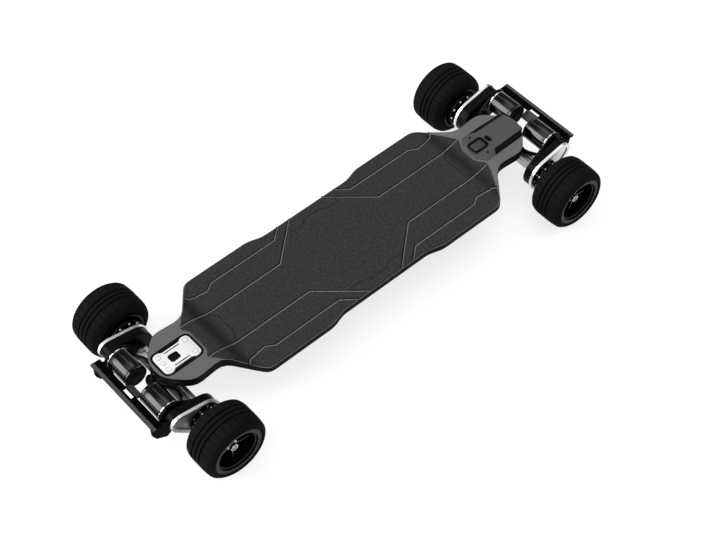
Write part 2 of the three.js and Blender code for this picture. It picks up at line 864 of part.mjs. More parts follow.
const axleEnd = { x: 0, z: axleHeight };
const motorEnd = { x: motor.x, z: motor.z };

function makeMotorMount(name, side) {
  const m = mountPlate;
  const web = wrapped({ ...axleEnd, radius: m.axleRadius }, { ...motorEnd, radius: m.motorRadius });
  const body = across(web, mountFrom, mountTo, endArcFaces);
  const armHole = bar(hanger.spigotRadius + fitGap, mountFrom - overrun, mountTo + overrun, 0, axleHeight);
  const shaftHole = bar(motor.statorTube, mountFrom - overrun, mountTo + overrun, motor.x, motor.z);
  const braceBottom = axleHeight + hanger.armHeight / 2 + fitGap;
  const line = new THREE.CatmullRomCurve3([
    new THREE.Vector3(m.braceInnerX, m.braceInnerY, 0),
    new THREE.Vector3(m.braceBowX, THREE.MathUtils.lerp(m.braceInnerY, mountFrom, m.braceBowShare), 0),
    new THREE.Vector3(m.braceOuterX, mountFrom + overrun, 0),
  ]);
  const outlinePoints = line.getPoints(endArcFaces);
  const inner = outlinePoints.map((p) => new THREE.Vector2(p.x - m.braceWidth / 2, p.y));
  const outer = outlinePoints.map((p) => new THREE.Vector2(p.x + m.braceWidth / 2, p.y)).reverse();
  const brace = raised(new THREE.Shape([...inner, ...outer]), braceBottom, braceBottom + m.braceHeight);
  const shape = cut(joined([body, brace]), [armHole, shaftHole]);
  return piece(name, shape, materials.castBlack, side);
}

function makeStator(name, side) {
  const m = motor;
  const core = m.radius - m.wall - m.airGap;
  const bore = m.shaftRadius + fitGap;
  const shape = turned([
    [bore, rotorFrom + m.statorFrom], [core, rotorFrom + m.statorFrom],
    [core, rotorTo - m.statorTo], [m.statorTube, rotorTo - m.statorTo],
    [m.statorTube, flangeFrom], [m.ringRadius, flangeFrom], [m.ringRadius, flangeTo], [bore, flangeTo],
  ], m.x, m.z, middleRoundFaces);
  return piece(name, shape, materials.brightAluminium, side);
}

const pulleyFrom = coverFrom + cover.wall + runningGap;
const pulleyTo = pulleyFrom + pulley.width;
const driveFrom = rimPlateTo + pulley.flangeSet;

function makeRotor(name, side) {
  const m = motor;
  const inner = m.radius - m.wall;
  const can = turned([
    [0, rotorFrom], [m.radius - m.wall, rotorFrom], [m.radius, rotorFrom + m.wall], [m.radius, rotorTo],
    [inner, rotorTo], [inner, rotorFrom + m.endWall], [m.shaftRadius, rotorFrom + m.endWall],
    [m.shaftRadius, pulleyTo], [0, pulleyTo],
  ], m.x, m.z, middleRoundFaces);
  const pinion = bar(pulley.pinionRadius, pulleyFrom, pulleyTo, m.x, m.z, middleRoundFaces);
  return piece(name, can.add(pinion), materials.motorBlack, side);
}

function makePulley(name, side) {
  const p = pulley;
  const driveTo = driveFrom + p.flangeThickness;
  const rim = bar(p.radius, pulleyFrom, pulleyTo, 0, axleHeight, largeRoundFaces);
  const sleeve = bar(p.sleeveRadius, pulleyFrom, driveTo, 0, axleHeight);
  const drive = bar(p.flangeRadius, driveFrom, driveTo, 0, axleHeight);
  const bolts = [];
  for (let i = 0; i < p.bolts; i += 1) {
    const angle = i / p.bolts * 2 * Math.PI;
    const x = p.boltCircle * Math.cos(angle);
    const z = axleHeight + p.boltCircle * Math.sin(angle);
    bolts.push(bar(p.boltRadius, driveFrom - p.boltHeight, driveFrom + overrun, x, z, boltFaces));
  }
  const bore = bar(axleRadius + fitGap, pulleyFrom - overrun, driveTo + overrun, 0, axleHeight);
  return piece(name, joined([rim, sleeve, drive, ...bolts]).subtract(bore), materials.brightAluminium, side);
}

function makeBelt(name, side) {
  const round = (spread) => wrapped(
    { ...axleEnd, radius: pulley.radius + spread }, { ...motorEnd, radius: pulley.pinionRadius + spread },
  );
  const from = pulleyFrom + (pulley.width - belt.width) / 2;
  const outer = across(round(belt.gap + belt.thickness), from, from + belt.width, endArcFaces);
  const inner = across(round(belt.gap), from - overrun, from + belt.width + overrun, endArcFaces);
  return piece(name, outer.subtract(inner), materials.beltRubber, side);
}

const coverOutline = (thinner) => wrapped(
  { ...axleEnd, radius: cover.axleRadius - thinner }, { ...motorEnd, radius: cover.motorRadius - thinner },
);

function makeBeltCover(name, side) {
  const shell = across(coverOutline(0), coverFrom, coverTo, endArcFaces);
  const hollow = across(coverOutline(cover.wall), coverFrom + cover.wall, coverTo + overrun, endArcFaces);
  const axleHole = bar(axleRadius + fitGap, coverFrom - overrun, coverTo, 0, axleHeight);
  const shaftHole = bar(motor.shaftRadius + runningGap, coverFrom - overrun, coverTo, motor.x, motor.z);
  return piece(name, cut(shell, [hollow, axleHole, shaftHole]), materials.castBlack, side);
}

function makeRimPlate(name, side) {
  const pocketFrom = rimPlateTo - cover.pocketDepth;
  const plate = across(coverOutline(-cover.plateSpread), rimPlateFrom, rimPlateTo, endArcFaces);
  const pocket = across(coverOutline(cover.pocketInset), pocketFrom, rimPlateTo + overrun, endArcFaces);
  const hole = bar(pulley.sleeveHole, rimPlateFrom - overrun, rimPlateTo + overrun, 0, axleHeight);
  return piece(name, cut(plate, [pocket, hole]), materials.brightAluminium, side);
}

// The guard joins the two motor mounts outboard of the motors: a lip, a shelf with a slot, and a
// tongue that slopes down between the motors.
function makeGuard(end) {
  const g = guard;
  const lipInner = g.lipOuter - g.lipWidth;
  const shelfTop = g.lipTop - g.shelfDrop;
  const shelfInner = motor.x + mountPlate.motorRadius + g.shelfGap;
  const profile = [
    [shelfInner, shelfTop - g.sheet], [lipInner, shelfTop - g.sheet], [lipInner, g.lipTop - g.lipDepth],
    [g.lipOuter, g.lipTop - g.lipDepth], [g.lipOuter, g.lipTop], [lipInner, g.lipTop],
    [lipInner, shelfTop], [shelfInner, shelfTop],
  ];
  const halfLength = endPlateTo + g.overhang;
  const rail = across(rounded(profile), -halfLength, halfLength);
  const tongueRoot = shelfInner + g.slotMargin;
  const tongueTip = shelfInner - g.tongueLength;
  const tongueProfile = [
    [tongueRoot, shelfTop - g.sheet], [tongueRoot, shelfTop], [shelfInner, shelfTop],
    [tongueTip, shelfTop - g.tongueDrop], [tongueTip, shelfTop - g.tongueDrop - g.sheet],
    [shelfInner, shelfTop - g.sheet],
  ];
  const tongueHalf = rotorFrom - g.tongueGap;
  const tongue = across(rounded(tongueProfile), -tongueHalf, tongueHalf);
  const middle = g.slotHalfLength;
  const slot = block(
    tongueRoot, tongueRoot + g.slotWidth, -middle, middle, shelfTop - g.sheet * 2, g.lipTop,
  );
  const plate = rounded([
    [g.lipOuter, g.lipTop], [shelfInner, shelfTop],
    [motor.x + g.endDip, g.lipTop - g.endDip], [motor.x - g.endReach, g.lipTop],
    [motor.x - g.endReach, axleHeight],
    [g.endFootX, g.endFootZ], [g.endKneeX, g.endKneeZ], [g.lipOuter, g.endCornerZ, g.endRadius],
  ]);
  const shaftHole = bar(motor.statorTube, -wheelY, wheelY, motor.x, motor.z);
  const ends = [[-endPlateTo, -endPlateFrom], [endPlateFrom, endPlateTo]]
    .map(([from, to]) => across(plate, from, to));
  const shape = cut(joined([rail.subtract(slot), tongue, ...ends]), [shaftHole]);
  return piece(`motor_guard_${end}`, shape, materials.castBlack);
}

// The wheel

const tyre = {
  boreRadius: 52,
  sideRadius: 61,
  crown: 0.6,
  shoulder: 20,
  grooveDepth: 3.2,
  grooveHalfWidth: 1.4,
  grooveSpacing: 11.5,
  beadInset: 3,
};
const hub = {
  lipRadius: 41,
  lipDepth: 6,
  barrelRadius: 38,
  inset: 3.5,
  webThickness: 5,
  webY: -4,
  bossRadius: 14,
  bossTo: 20,
  driveRadius: 32,
  barrelWall: 6,
  spokes: 5,
  spokeHalfWidth: 2.2,
  spokeTo: 17,
};

function makeTyre(name, side) {
  const t = tyre;
  const half = tyreWidth / 2;
  const top = wheelDiameter / 2;
  const edge = top - t.crown;
  const shoulderShares = [[0, 0], [0.74, 0.3], [1, 1]];
  const shoulder = shoulderShares.map(([riseShare, inShare]) => [
    t.sideRadius + (edge - t.sideRadius) * riseShare, half - t.shoulder * inShare,
  ]);
  const groove = (middle) => [
    [top, middle + t.grooveHalfWidth], [top - t.grooveDepth, middle], [top, middle - t.grooveHalfWidth],
  ];
  const profile = [
    [t.boreRadius, half - t.beadInset], ...shoulder,
    ...groove(t.grooveSpacing), ...groove(0), ...groove(-t.grooveSpacing),
    ...shoulder.map(([r, y]) => [r, -y]).reverse(),
    [t.boreRadius, t.beadInset - half],
  ];
  const shape = turned(profile.map(([r, y]) => [r, y + wheelY]), 0, axleHeight, largeRoundFaces);
  return piece(name, shape, materials.tyreRubber, side);
}

function makeHub(name, side) {
  const h = hub;
  const outer = tyre.boreRadius - fitGap;
  const half = tyreWidth / 2 - h.inset;
  const at = (y) => wheelY + y;
  const driveTo = driveFrom + pulley.flangeThickness + fitGap;
  const bore = axleRadius + fitGap;
  const body = turned([
    [bore, driveTo], [h.driveRadius, driveTo], [h.driveRadius, at(h.webY - h.webThickness)],
    [outer - h.barrelWall, at(h.webY - h.webThickness)], [outer - h.barrelWall, at(-half)],
    [outer, at(-half)], [outer, at(half)],
    [h.lipRadius, at(half)], [h.barrelRadius, at(half - h.lipDepth)],
    [h.barrelRadius, at(h.webY)], [h.bossRadius, at(h.webY)],
    [h.bossRadius, at(h.bossTo)], [bore, at(h.bossTo)],
  ], 0, axleHeight);
  const spokes = [];
  for (let i = 0; i < h.spokes; i += 1) {
    const angle = Math.PI / 2 + i / h.spokes * 2 * Math.PI;
    const from = h.bossRadius - fitGap * 2;
    const to = h.barrelRadius + fitGap;
    const blade = new THREE.BoxGeometry(to - from, h.spokeTo - h.webY + fitGap, h.spokeHalfWidth * 2);
    blade.translate((from + to) / 2, (h.spokeTo + h.webY - fitGap) / 2, 0);
    blade.rotateY(angle);
    blade.translate(0, wheelY, axleHeight);
    spokes.push(solid(blade));
  }
  return piece(name, joined([body, ...spokes]), materials.hubBlack, side);
}

const axleNut = { radius: 9.5, thickness: 7 };

function makeAxleNut(name, side) {
  const from = wheelY + hub.bossTo + fitGap;
  const nut = bar(axleNut.radius, from, from + axleNut.thickness, 0, axleHeight, 6);
  const hole = bar(axleRadius + fitGap, from - overrun, from + axleNut.thickness + overrun, 0, axleHeight);
  return piece(name, nut.subtract(hole), materials.steel, side);
}

// Putting it together

function makeTruck(end) {
  const truck = new THREE.Group();
  truck.add(
    makeTruckBase(end),
    makeKingpin(end),
    makeBushing(end, 'inner', truckBase.legEnd + fitGap, hanger.barrelStart - fitGap),
    makeBushing(end, 'outer', hanger.barrelEnd + fitGap, capStart - fitGap),
    makeHanger(end),
    makeGuard(end),
  );
  // Looking outboard from the middle of the board, local +Y is the rider's right at the tail.
  const sides = end === 'tail' ? { right: 1, left: -1 } : { left: 1, right: -1 };
  for (const [sideName, side] of Object.entries(sides)) {
    const where = `${end}_${sideName}`;
    truck.add(
      makeMotorMount(`motor_mount_${where}`, side),
      makeStator(`motor_stator_${where}`, side),
      makeRotor(`motor_rotor_${where}`, side),
      makePulley(`wheel_pulley_${where}`, side),
      makeBelt(`drive_belt_${where}`, side),
      makeBeltCover(`belt_cover_${where}`, side),
      makeRimPlate(`cover_plate_${where}`, side),
      makeTyre(`tyre_${where}`, side),
      makeHub(`hub_${where}`, side),
      makeAxleNut(`axle_nut_${where}`, side),
    );
  }
  return truck;
}

const board = new THREE.Group();
board.add(
  makeDeck(),
  makeGripMat(),
  makeNosePlate(),
  makeConsole(),
  makeButton(),
  makeEnclosure(),
  makeBattery(),
  makeController(),
);
const tailTruck = makeTruck('tail');
tailTruck.position.x = truckX;
const noseTruck = makeTruck('nose');
noseTruck.position.x = -truckX;
noseTruck.rotation.z = Math.PI;
board.add(tailTruck, noseTruck);

export default board;
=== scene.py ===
# %% [markdown]
# An electric mountainboard, dressed for its picture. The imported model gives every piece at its
# real size. This script gives each visible piece its finish, and puts smooth worked surfaces in
# place of the plain ones. Lengths are in metres. +X runs from the nose to the tail, +Y to the
# right of a rider who faces the nose, and +Z up.

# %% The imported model
import json
import math

import bmesh
import bpy
import numpy as np
from mathutils import Matrix, Vector

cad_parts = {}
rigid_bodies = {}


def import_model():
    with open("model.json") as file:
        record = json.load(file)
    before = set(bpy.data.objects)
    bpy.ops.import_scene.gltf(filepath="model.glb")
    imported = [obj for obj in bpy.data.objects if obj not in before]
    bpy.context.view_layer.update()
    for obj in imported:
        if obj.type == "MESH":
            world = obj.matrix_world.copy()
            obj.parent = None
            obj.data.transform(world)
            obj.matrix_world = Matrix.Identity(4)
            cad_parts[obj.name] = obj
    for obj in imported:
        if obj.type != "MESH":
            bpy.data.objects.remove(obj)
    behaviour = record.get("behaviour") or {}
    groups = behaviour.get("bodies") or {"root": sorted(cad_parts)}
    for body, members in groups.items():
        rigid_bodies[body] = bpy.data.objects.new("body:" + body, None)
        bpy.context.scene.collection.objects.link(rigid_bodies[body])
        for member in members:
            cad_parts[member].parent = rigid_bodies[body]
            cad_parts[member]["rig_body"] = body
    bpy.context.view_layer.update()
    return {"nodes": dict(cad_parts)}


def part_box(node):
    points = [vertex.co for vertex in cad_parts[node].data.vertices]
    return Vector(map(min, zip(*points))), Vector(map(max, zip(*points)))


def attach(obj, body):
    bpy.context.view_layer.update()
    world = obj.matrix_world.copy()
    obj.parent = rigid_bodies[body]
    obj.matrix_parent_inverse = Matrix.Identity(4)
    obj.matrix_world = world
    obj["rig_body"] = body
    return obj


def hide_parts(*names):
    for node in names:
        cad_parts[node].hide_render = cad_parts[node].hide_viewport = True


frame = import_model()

nodes = frame["nodes"]
mm = 0.001
print(len(nodes), "pieces in the packed model")

# %% [markdown]
# The driving sizes are read from the model's own boxes, so that each surface made here fits the
# piece that it stands for. Each wheel corner has a sign along X for its end of the board and a
# sign along Y for its side. What is made for one corner is mirrored by those signs to the others.

# %% Sizes taken from the model
ends = {"nose": -1, "tail": 1}
sides = {"left": -1, "right": 1}
wheels = {f"{end}_{side}": (ends[end], sides[side]) for end in ends for side in sides}


def corners_of(node):
    """Lowest and highest corner of a node as arrays."""
    low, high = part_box(node)
    return np.array(low), np.array(high)


tyre_low, tyre_high = corners_of("tyre_tail_right")
axle_x, wheel_y, axle_z = (tyre_low + tyre_high) / 2
tyre_radius = (tyre_high[2] - tyre_low[2]) / 2
tyre_half = (tyre_high[1] - tyre_low[1]) / 2
deck_low, deck_high = corners_of("deck")
tongue_top = deck_high[2]
tongue_rise = 16 * mm
platform_top = tongue_top - tongue_rise
mat_thickness = 2 * mm
fit_gap = 0.3 * mm
mat_top = platform_top + fit_gap + mat_thickness
print("wheel", round(tyre_radius * 2, 4), "deck", np.round(deck_high - deck_low, 3))

# %% [markdown]
# The camera comes first, because every surface is judged from it. The photographer stood off
# the nose's left corner and looked down steeply with a long lens, so the far wheels look almost
# as large as the near ones. Its place is given by the two angles, the distance and a small roll.

# %% The camera
camera_azimuth = math.radians(-40.824)
camera_elevation = math.radians(52.650)
camera_roll = math.radians(-0.662)
camera_distance = 3.455
camera_target = Vector((-0.0272, -0.0600, 0.0760))
clip_near, clip_far = 0.05, 60
focal_pixels = 1605.6
image_width = 708
sensor_width = 36.0


def make_camera():
    """Camera axes: back points from the target to the camera, right is level, and both right and
    up are then turned about back by the roll."""
    data = bpy.data.cameras.new("camera")
    data.sensor_width = sensor_width
    data.lens = focal_pixels / image_width * sensor_width
    data.clip_start, data.clip_end = clip_near, clip_far
    camera = bpy.data.objects.new("camera", data)
    flat = math.cos(camera_elevation)
    back = Vector((
        math.sin(camera_azimuth) * flat, -math.cos(camera_azimuth) * flat, math.sin(camera_elevation),
    ))
    level = Vector((math.cos(camera_azimuth), math.sin(camera_azimuth), 0))
    upward = back.cross(level)
    right = level * math.cos(camera_roll) + upward * math.sin(camera_roll)
    up = upward * math.cos(camera_roll) - level * math.sin(camera_roll)
    turn = Matrix((right, up, back)).transposed()
    camera.matrix_world = Matrix.Translation(camera_target + back * camera_distance) @ turn.to_4x4()
    bpy.context.scene.collection.objects.link(camera)
    bpy.context.scene.camera = camera
    return camera


print("lens", round(make_camera().data.lens, 1), "mm")

# %% [markdown]
# Every new surface here is a grid of points: rings stacked one after another, with quads between
# neighbours. A grid can be a profile turned about an axis, an outline that changes as it rises, or
# a section carried along a path. Several grids can share one piece. Points that coincide, as at a
# pole or a seam, are merged at the end, and the faces are then turned to point outwards.

# %% Grids into meshes
weld_distance = 0.002 * mm


def grid_faces(rows, columns, loop_rows=False, loop_columns=True):
    """Corner numbers of the quads of a grid. Point (row, column) has the number
    row * columns + column, and a looped direction joins its last line back to its first."""
    last_row = rows if loop_rows else rows - 1
    last_column = columns if loop_columns else columns - 1
    row, column = np.meshgrid(np.arange(last_row), np.arange(last_column), indexing="ij")
    next_row, next_column = (row + 1) % rows, (column + 1) % columns
    quads = np.stack([
        row * columns + column, row * columns + next_column,
        next_row * columns + next_column, next_row * columns + column,
    ], axis=-1)
    return quads.reshape(-1, 4)


def grid(points, loop_rows=False, loop_columns=True, caps=False, tone=0):
    """One grid surface: points has the shape (rows, columns, 3), and tone is the number of the
    finish, or one number for each row of faces. caps closes the first and the last ring."""
    rows, columns = points.shape[:2]
    faces = grid_faces(rows, columns, loop_rows, loop_columns)
    per_row = len(faces) // (rows if loop_rows else rows - 1)
    tones = np.repeat(np.broadcast_to(tone, len(faces) // per_row), per_row)
    ends_of = [np.arange(columns)[::-1], np.arange(columns) + (rows - 1) * columns] if caps else []
    return {"points": points.reshape(-1, 3), "faces": faces, "tones": tones, "caps": ends_of}


def finished(name, mesh, finishes, body, stands_for=(), sharp=35, closed=True):
    """Welds a mesh, turns its faces outwards, smooths it up to an angle, gives it its finishes by
    their names and hangs it on its body."""
    work = bmesh.new()
    work.from_mesh(mesh)
    bmesh.ops.remove_doubles(work, verts=work.verts, dist=weld_distance)
    bmesh.ops.dissolve_degenerate(work, edges=work.edges, dist=weld_distance)
    if closed:
        bmesh.ops.recalc_face_normals(work, faces=work.faces)
    work.to_mesh(mesh)
    work.free()
    mesh.shade_smooth()
    mesh.set_sharp_from_angle(angle=math.radians(sharp))
    for finish_name in finishes:
        mesh.materials.append(look[finish_name])
    made = bpy.data.objects.new(name, mesh)
    bpy.context.scene.collection.objects.link(made)
    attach(made, body)
    if stands_for:
        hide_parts(*stands_for)
    return made


def piece(name, grids, finishes, body, stands_for=(), sharp=35, mirror=(1, 1)):
    """Puts grids into one object that rides on a body. mirror has a sign for X and one for Y."""
    points, faces, tones = [], [], []
    offset = 0
    for part in grids:
        points.append(part["points"])
        faces += (part["faces"] + offset).tolist()
        tones += part["tones"].tolist()
        for cap in part["caps"]:
            faces.append((cap + offset).tolist())
            tones.append(int(part["tones"][0]))
        offset += len(part["points"])
    flipped = np.concatenate(points) * np.array([mirror[0], mirror[1], 1])
    mesh = bpy.data.meshes.new(name)
    mesh.from_pydata(flipped.tolist(), [], faces)
    mesh.polygons.foreach_set("material_index", tones)
    return finished(name, mesh, finishes, body, stands_for, sharp)


def at_wheel(name, wheel, grids, finishes, rider, replaced=None, sharp=35):
    """A piece of one wheel corner, named after it. rider says which of the corner's bodies carries
    it: its wheel, its rotor, or the truck at its end."""
    body = f"{wheel.split('_')[0]}_truck" if rider == "truck" else f"{wheel}_{rider}"
    stands_for = (f"{replaced}_{wheel}",) if replaced else ()
    return piece(f"{name}_{wheel}", grids, finishes, body, stands_for, sharp, wheels[wheel])


print("a grid of 3 rings of 4 points has", len(grid_faces(3, 4)), "quads")

# %% [markdown]
# Corners on real parts are never perfectly sharp, and the thin bright line of an eased edge is what
# tells the eye that a part is metal or moulded. A bevel could round them afterwards. On a turned
# part it is cleaner to ease the corners of its profile with a short curve, and then to carry the
# profile right round the axis.

# %% Outlines and profiles
# How far an eased corner reaches along its sides, from the finest line to a full round.
hairline, fine, slight, soft, easy, rounded, full = np.array([0.2, 0.3, 0.4, 0.5, 0.6, 0.8, 1]) * mm


def eased(corners, steps=5):
    """Each corner (a, b, reach) becomes a quadratic curve that leaves and meets the sides at
    reach from the corner: (1 - t)^2 start + 2 t (1 - t) corner + t^2 end, for t from 0 to 1."""
    table = np.array(corners, float)
    here, reach = table[:, :2], table[:, 2:3]

    def along(other):
        way = other - here
        return here + way / np.maximum(np.linalg.norm(way, axis=1, keepdims=True), 1e-9) * reach

    start, end = along(np.roll(here, 1, 0))[:, None], along(np.roll(here, -1, 0))[:, None]
    t = np.linspace(0, 1, steps + 1)[None, :, None]
    curve = (1 - t) ** 2 * start + 2 * t * (1 - t) * here[:, None] + t ** 2 * end
    return curve.reshape(-1, 2)


def round_angles(steps):
    """Even angles once round a circle."""
    return np.linspace(0, 2 * math.pi, steps, endpoint=False)


def turned(profile, x, z, steps=96, radius_at=None, angles=None):
    """Carries a profile of (y, radius) points round an axis along Y through (x, z). radius_at, if
    given, changes the radii for each angle, from arrays (profile points, 1) and (1, angles)."""
    turn = round_angles(steps) if angles is None else angles
    y, radius = profile[:, :1], profile[:, 1:2]
    if radius_at is not None:
        radius = radius_at(y, radius, turn[None, :])
    spread = np.ones((1, len(turn)))
    return np.stack([x + radius * np.cos(turn), y * spread, z + radius * np.sin(turn)], axis=-1)


def upright(x, y, rows, steps=48):
    """Rings round a vertical axis through (x, y). rows is a list of (radius, z), where the radius
    is one number or has one for each angle."""
    turn = round_angles(steps)
    rings = [np.stack([x + radius * np.cos(turn), y + radius * np.sin(turn), np.full(steps, z)], -1)
             for radius, z in rows]
    return np.stack(rings)


def hexagon(turn, reach):
    """The radius of a hexagon at each angle: reach at its corners, and between them
    reach * cos(30 degrees) / cos(the angle from the middle of the side)."""
    sixth = math.pi / 3
    return reach * math.cos(sixth / 2) / np.cos((turn % sixth) - sixth / 2)


def four_way(quarter):
    """The whole outline of a shape that is given for the corner with a > 0 and b > 0."""
    table = np.array(quarter, float)
    flip_a, flip_b = np.array([-1, 1, 1]), np.array([1, -1, 1])
    return np.concatenate([table, table[::-1] * flip_a, table * flip_a * flip_b, table[::-1] * flip_b])


def inset(outline, distance):
    """Moves a closed counter-clockwise outline inwards along its normals. The normal at a point
    is the tangent between its two neighbours, turned by a quarter."""
    tangent = np.roll(outline, -1, 0) - np.roll(outline, 1, 0)
    tangent /= np.maximum(np.linalg.norm(tangent, axis=1, keepdims=True), 1e-9)
    return outline + np.stack([-tangent[:, 1], tangent[:, 0]], -1) * distance


def lifted(outline, z):
    """A flat outline at a height."""
    return np.column_stack([outline, np.full(len(outline), z)])


def standing(outline, steps):
    """Stacks copies of a flat outline along Z. steps is a list of (inset, height)."""
    return np.stack([lifted(inset(outline, back), z) for back, z in steps])


print("an eased square has", len(eased(four_way([(1, 1, 0.2)]))), "points")

# %% [markdown]
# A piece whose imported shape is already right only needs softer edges. It could be modelled again,
# but a copy can't drift from its size: the mesh is copied and welded, flat neighbours become one
# face, and a narrow bevel rounds each edge over a set angle. A chooser can give faces another
# finish by where they lie and which way they look.

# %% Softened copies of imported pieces
flat_angle = math.radians(0.5)
bevel_angle = math.radians(32)


def softened(name, finishes, edge=easy, choose=None, segments=2, cuts=(), edge_tone=-1):
    """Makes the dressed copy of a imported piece, with its sharp edges eased by edge. cuts are planes
    (point, normal) that divide faces first, so that a finish can end there."""
    source = nodes[name]
    mesh = source.data.copy()
    mesh.materials.clear()
    work = bmesh.new()
    work.from_mesh(mesh)
    bmesh.ops.remove_doubles(work, verts=work.verts, dist=weld_distance)
    bmesh.ops.dissolve_limit(
        work, angle_limit=flat_angle, verts=work.verts, edges=work.edges, use_dissolve_boundaries=False,
    )
    for point, normal in cuts:
        everything = [*work.verts, *work.edges, *work.faces]
        bmesh.ops.bisect_plane(work, geom=everything, plane_co=point, plane_no=normal)
    bmesh.ops.recalc_face_normals(work, faces=work.faces)
    work.to_mesh(mesh)
    work.free()
    if choose is not None:
        count = len(mesh.polygons)
        centres, normals = np.zeros(count * 3), np.zeros(count * 3)
        mesh.polygons.foreach_get("center", centres)
        mesh.polygons.foreach_get("normal", normals)
        chosen = choose(centres.reshape(-1, 3), normals.reshape(-1, 3))
        mesh.polygons.foreach_set("material_index", chosen.astype(int))
    made = finished("dressed_" + name, mesh, finishes, source["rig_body"], (name,), closed=False)
    if edge:
        bevel = made.modifiers.new("eased edges", "BEVEL")
        bevel.width = edge
        bevel.segments = segments
        bevel.limit_method = "ANGLE"
        bevel.angle_limit = bevel_angle
        bevel.use_clamp_overlap = True
        bevel.harden_normals = True
        bevel.material = edge_tone
    return made


print("edges of more than", round(math.degrees(bevel_angle)), "degrees are eased")

# %% [markdown]
# The finishes share a few effects, each built once as a node group. Grain gives a fine random
# relief. Mottle varies a colour slightly, as dyed rubber and cast paint do. Brushed gives the
# short parallel marks of machined metal. All of them read the object's own coordinates in metres,
# so a pattern keeps its real size and stays on its piece when the piece moves.

# %% Shader effects
socket_kinds = {1: "NodeSocketFloat", 4: "NodeSocketColor"}
wide_scale_share, wide_height_share = 0.3, 0.33
noise_middle, mottle_gain = 0.5, 3.0
brush_stretch = (1.0, 0.05, 1.0)


def add_node(tree, kind, inputs=None, **settings):
    """A new shader node. Each input gets a plain value, or a link where a socket is given."""
    made = tree.nodes.new("ShaderNode" + kind)
    for key, value in settings.items():
        setattr(made, key, value)
    for key, value in (inputs or {}).items():
        if isinstance(value, bpy.types.NodeSocket):
            tree.links.new(value, made.inputs[key])
        else:
            made.inputs[key].default_value = value
    return made


def calc(tree, operation, first, second=0.0):
    """The result of one operation on two operands, each a plain number or a socket."""
    return add_node(tree, "Math", {0: first, 1: second}, operation=operation).outputs[0]


def scaled(tree, color, factor):
    """A colour times a factor."""
    return add_node(tree, "VectorMath", {0: color, "Scale": factor}, operation="SCALE").outputs[0]


def object_place(tree):
    """The place on the object, in metres."""
    return add_node(tree, "TexCoord").outputs["Object"]


def new_group(name, inputs, outputs):
    """An empty node group and its inner sockets. inputs and outputs name the sockets, each with its
    default: a number, or four for a colour."""
    group = bpy.data.node_groups.new(name, "ShaderNodeTree")
    for way, table in (("INPUT", inputs), ("OUTPUT", outputs)):
        for label, value in table.items():
            kind = socket_kinds[np.size(value)]
            group.interface.new_socket(label, in_out=way, socket_type=kind).default_value = value
    give, take = group.nodes.new("NodeGroupInput"), group.nodes.new("NodeGroupOutput")
    return group, give.outputs, take.inputs


def make_grain():
    """Height of a fine grain: a close noise plus a wider one at a third of its strength."""
    group, give, take = new_group("grain", {"Scale": 900.0}, {"Height": 0.0})
    place = object_place(group)
    close = add_node(group, "TexNoise", {
        "Vector": place, "Scale": give["Scale"], "Detail": 2.0, "Roughness": 0.6,
    })
    wide = add_node(group, "TexNoise", {
        "Vector": place, "Scale": calc(group, "MULTIPLY", give["Scale"], wide_scale_share), "Detail": 1.0,
    })
    wider = calc(group, "MULTIPLY", wide.outputs[0], wide_height_share)
    group.links.new(calc(group, "ADD", close.outputs[0], wider), take["Height"])
    return group


def make_mottle():
    """A colour times a factor that wanders about 1: 1 + 3 * Amount * (noise - 0.5). Value is the
    noise itself."""
    group, give, take = new_group(
        "mottle", {"Color": (0.5, 0.5, 0.5, 1), "Amount": 0.1, "Scale": 60.0},
        {"Color": (0.5, 0.5, 0.5, 1), "Value": 0.0},
    )
    noise = add_node(group, "TexNoise", {
        "Vector": object_place(group), "Scale": give["Scale"], "Detail": 4.0, "Roughness": 0.65,
    }).outputs[0]
    raised = calc(group, "MULTIPLY", calc(group, "SUBTRACT", noise, noise_middle), mottle_gain)
    swing = calc(group, "MULTIPLY", raised, give["Amount"])
    group.links.new(scaled(group, give["Color"], calc(group, "ADD", swing, 1.0)), take["Color"])
    group.links.new(noise, take["Value"])
    return group


def make_brushed():
    """Height of short parallel marks: a noise stretched twenty times along one direction."""
    group, give, take = new_group("brushed", {"Scale": 1500.0}, {"Height": 0.0})
    places = {0: object_place(group), 1: brush_stretch}
    squeezed = add_node(group, "VectorMath", places, operation="MULTIPLY").outputs[0]
    noise = add_node(group, "TexNoise", {
        "Vector": squeezed, "Scale": give["Scale"], "Detail": 3.0, "Roughness": 0.7,
    })
    group.links.new(noise.outputs[0], take["Height"])
    return group


grain, mottle, brushed = make_grain(), make_mottle(), make_brushed()
print("effects:", grain.name, mottle.name, brushed.name)

# %% [markdown]
# Each finish is a Principled surface with its colour, gloss and relief. One helper wires the
# shared effects: the mottle into the colour, the mottle's value into the roughness, and a relief
# through a bump node, whose height is a real one in metres. Most of this board is black on white,
# and black plastic and paint mirror the pale floor. Their specular levels are therefore very low,
# which keeps them as deep as the photograph shows them.

# %% How a finish is wired
gloss_low, gloss_high = 0.3, 0.7


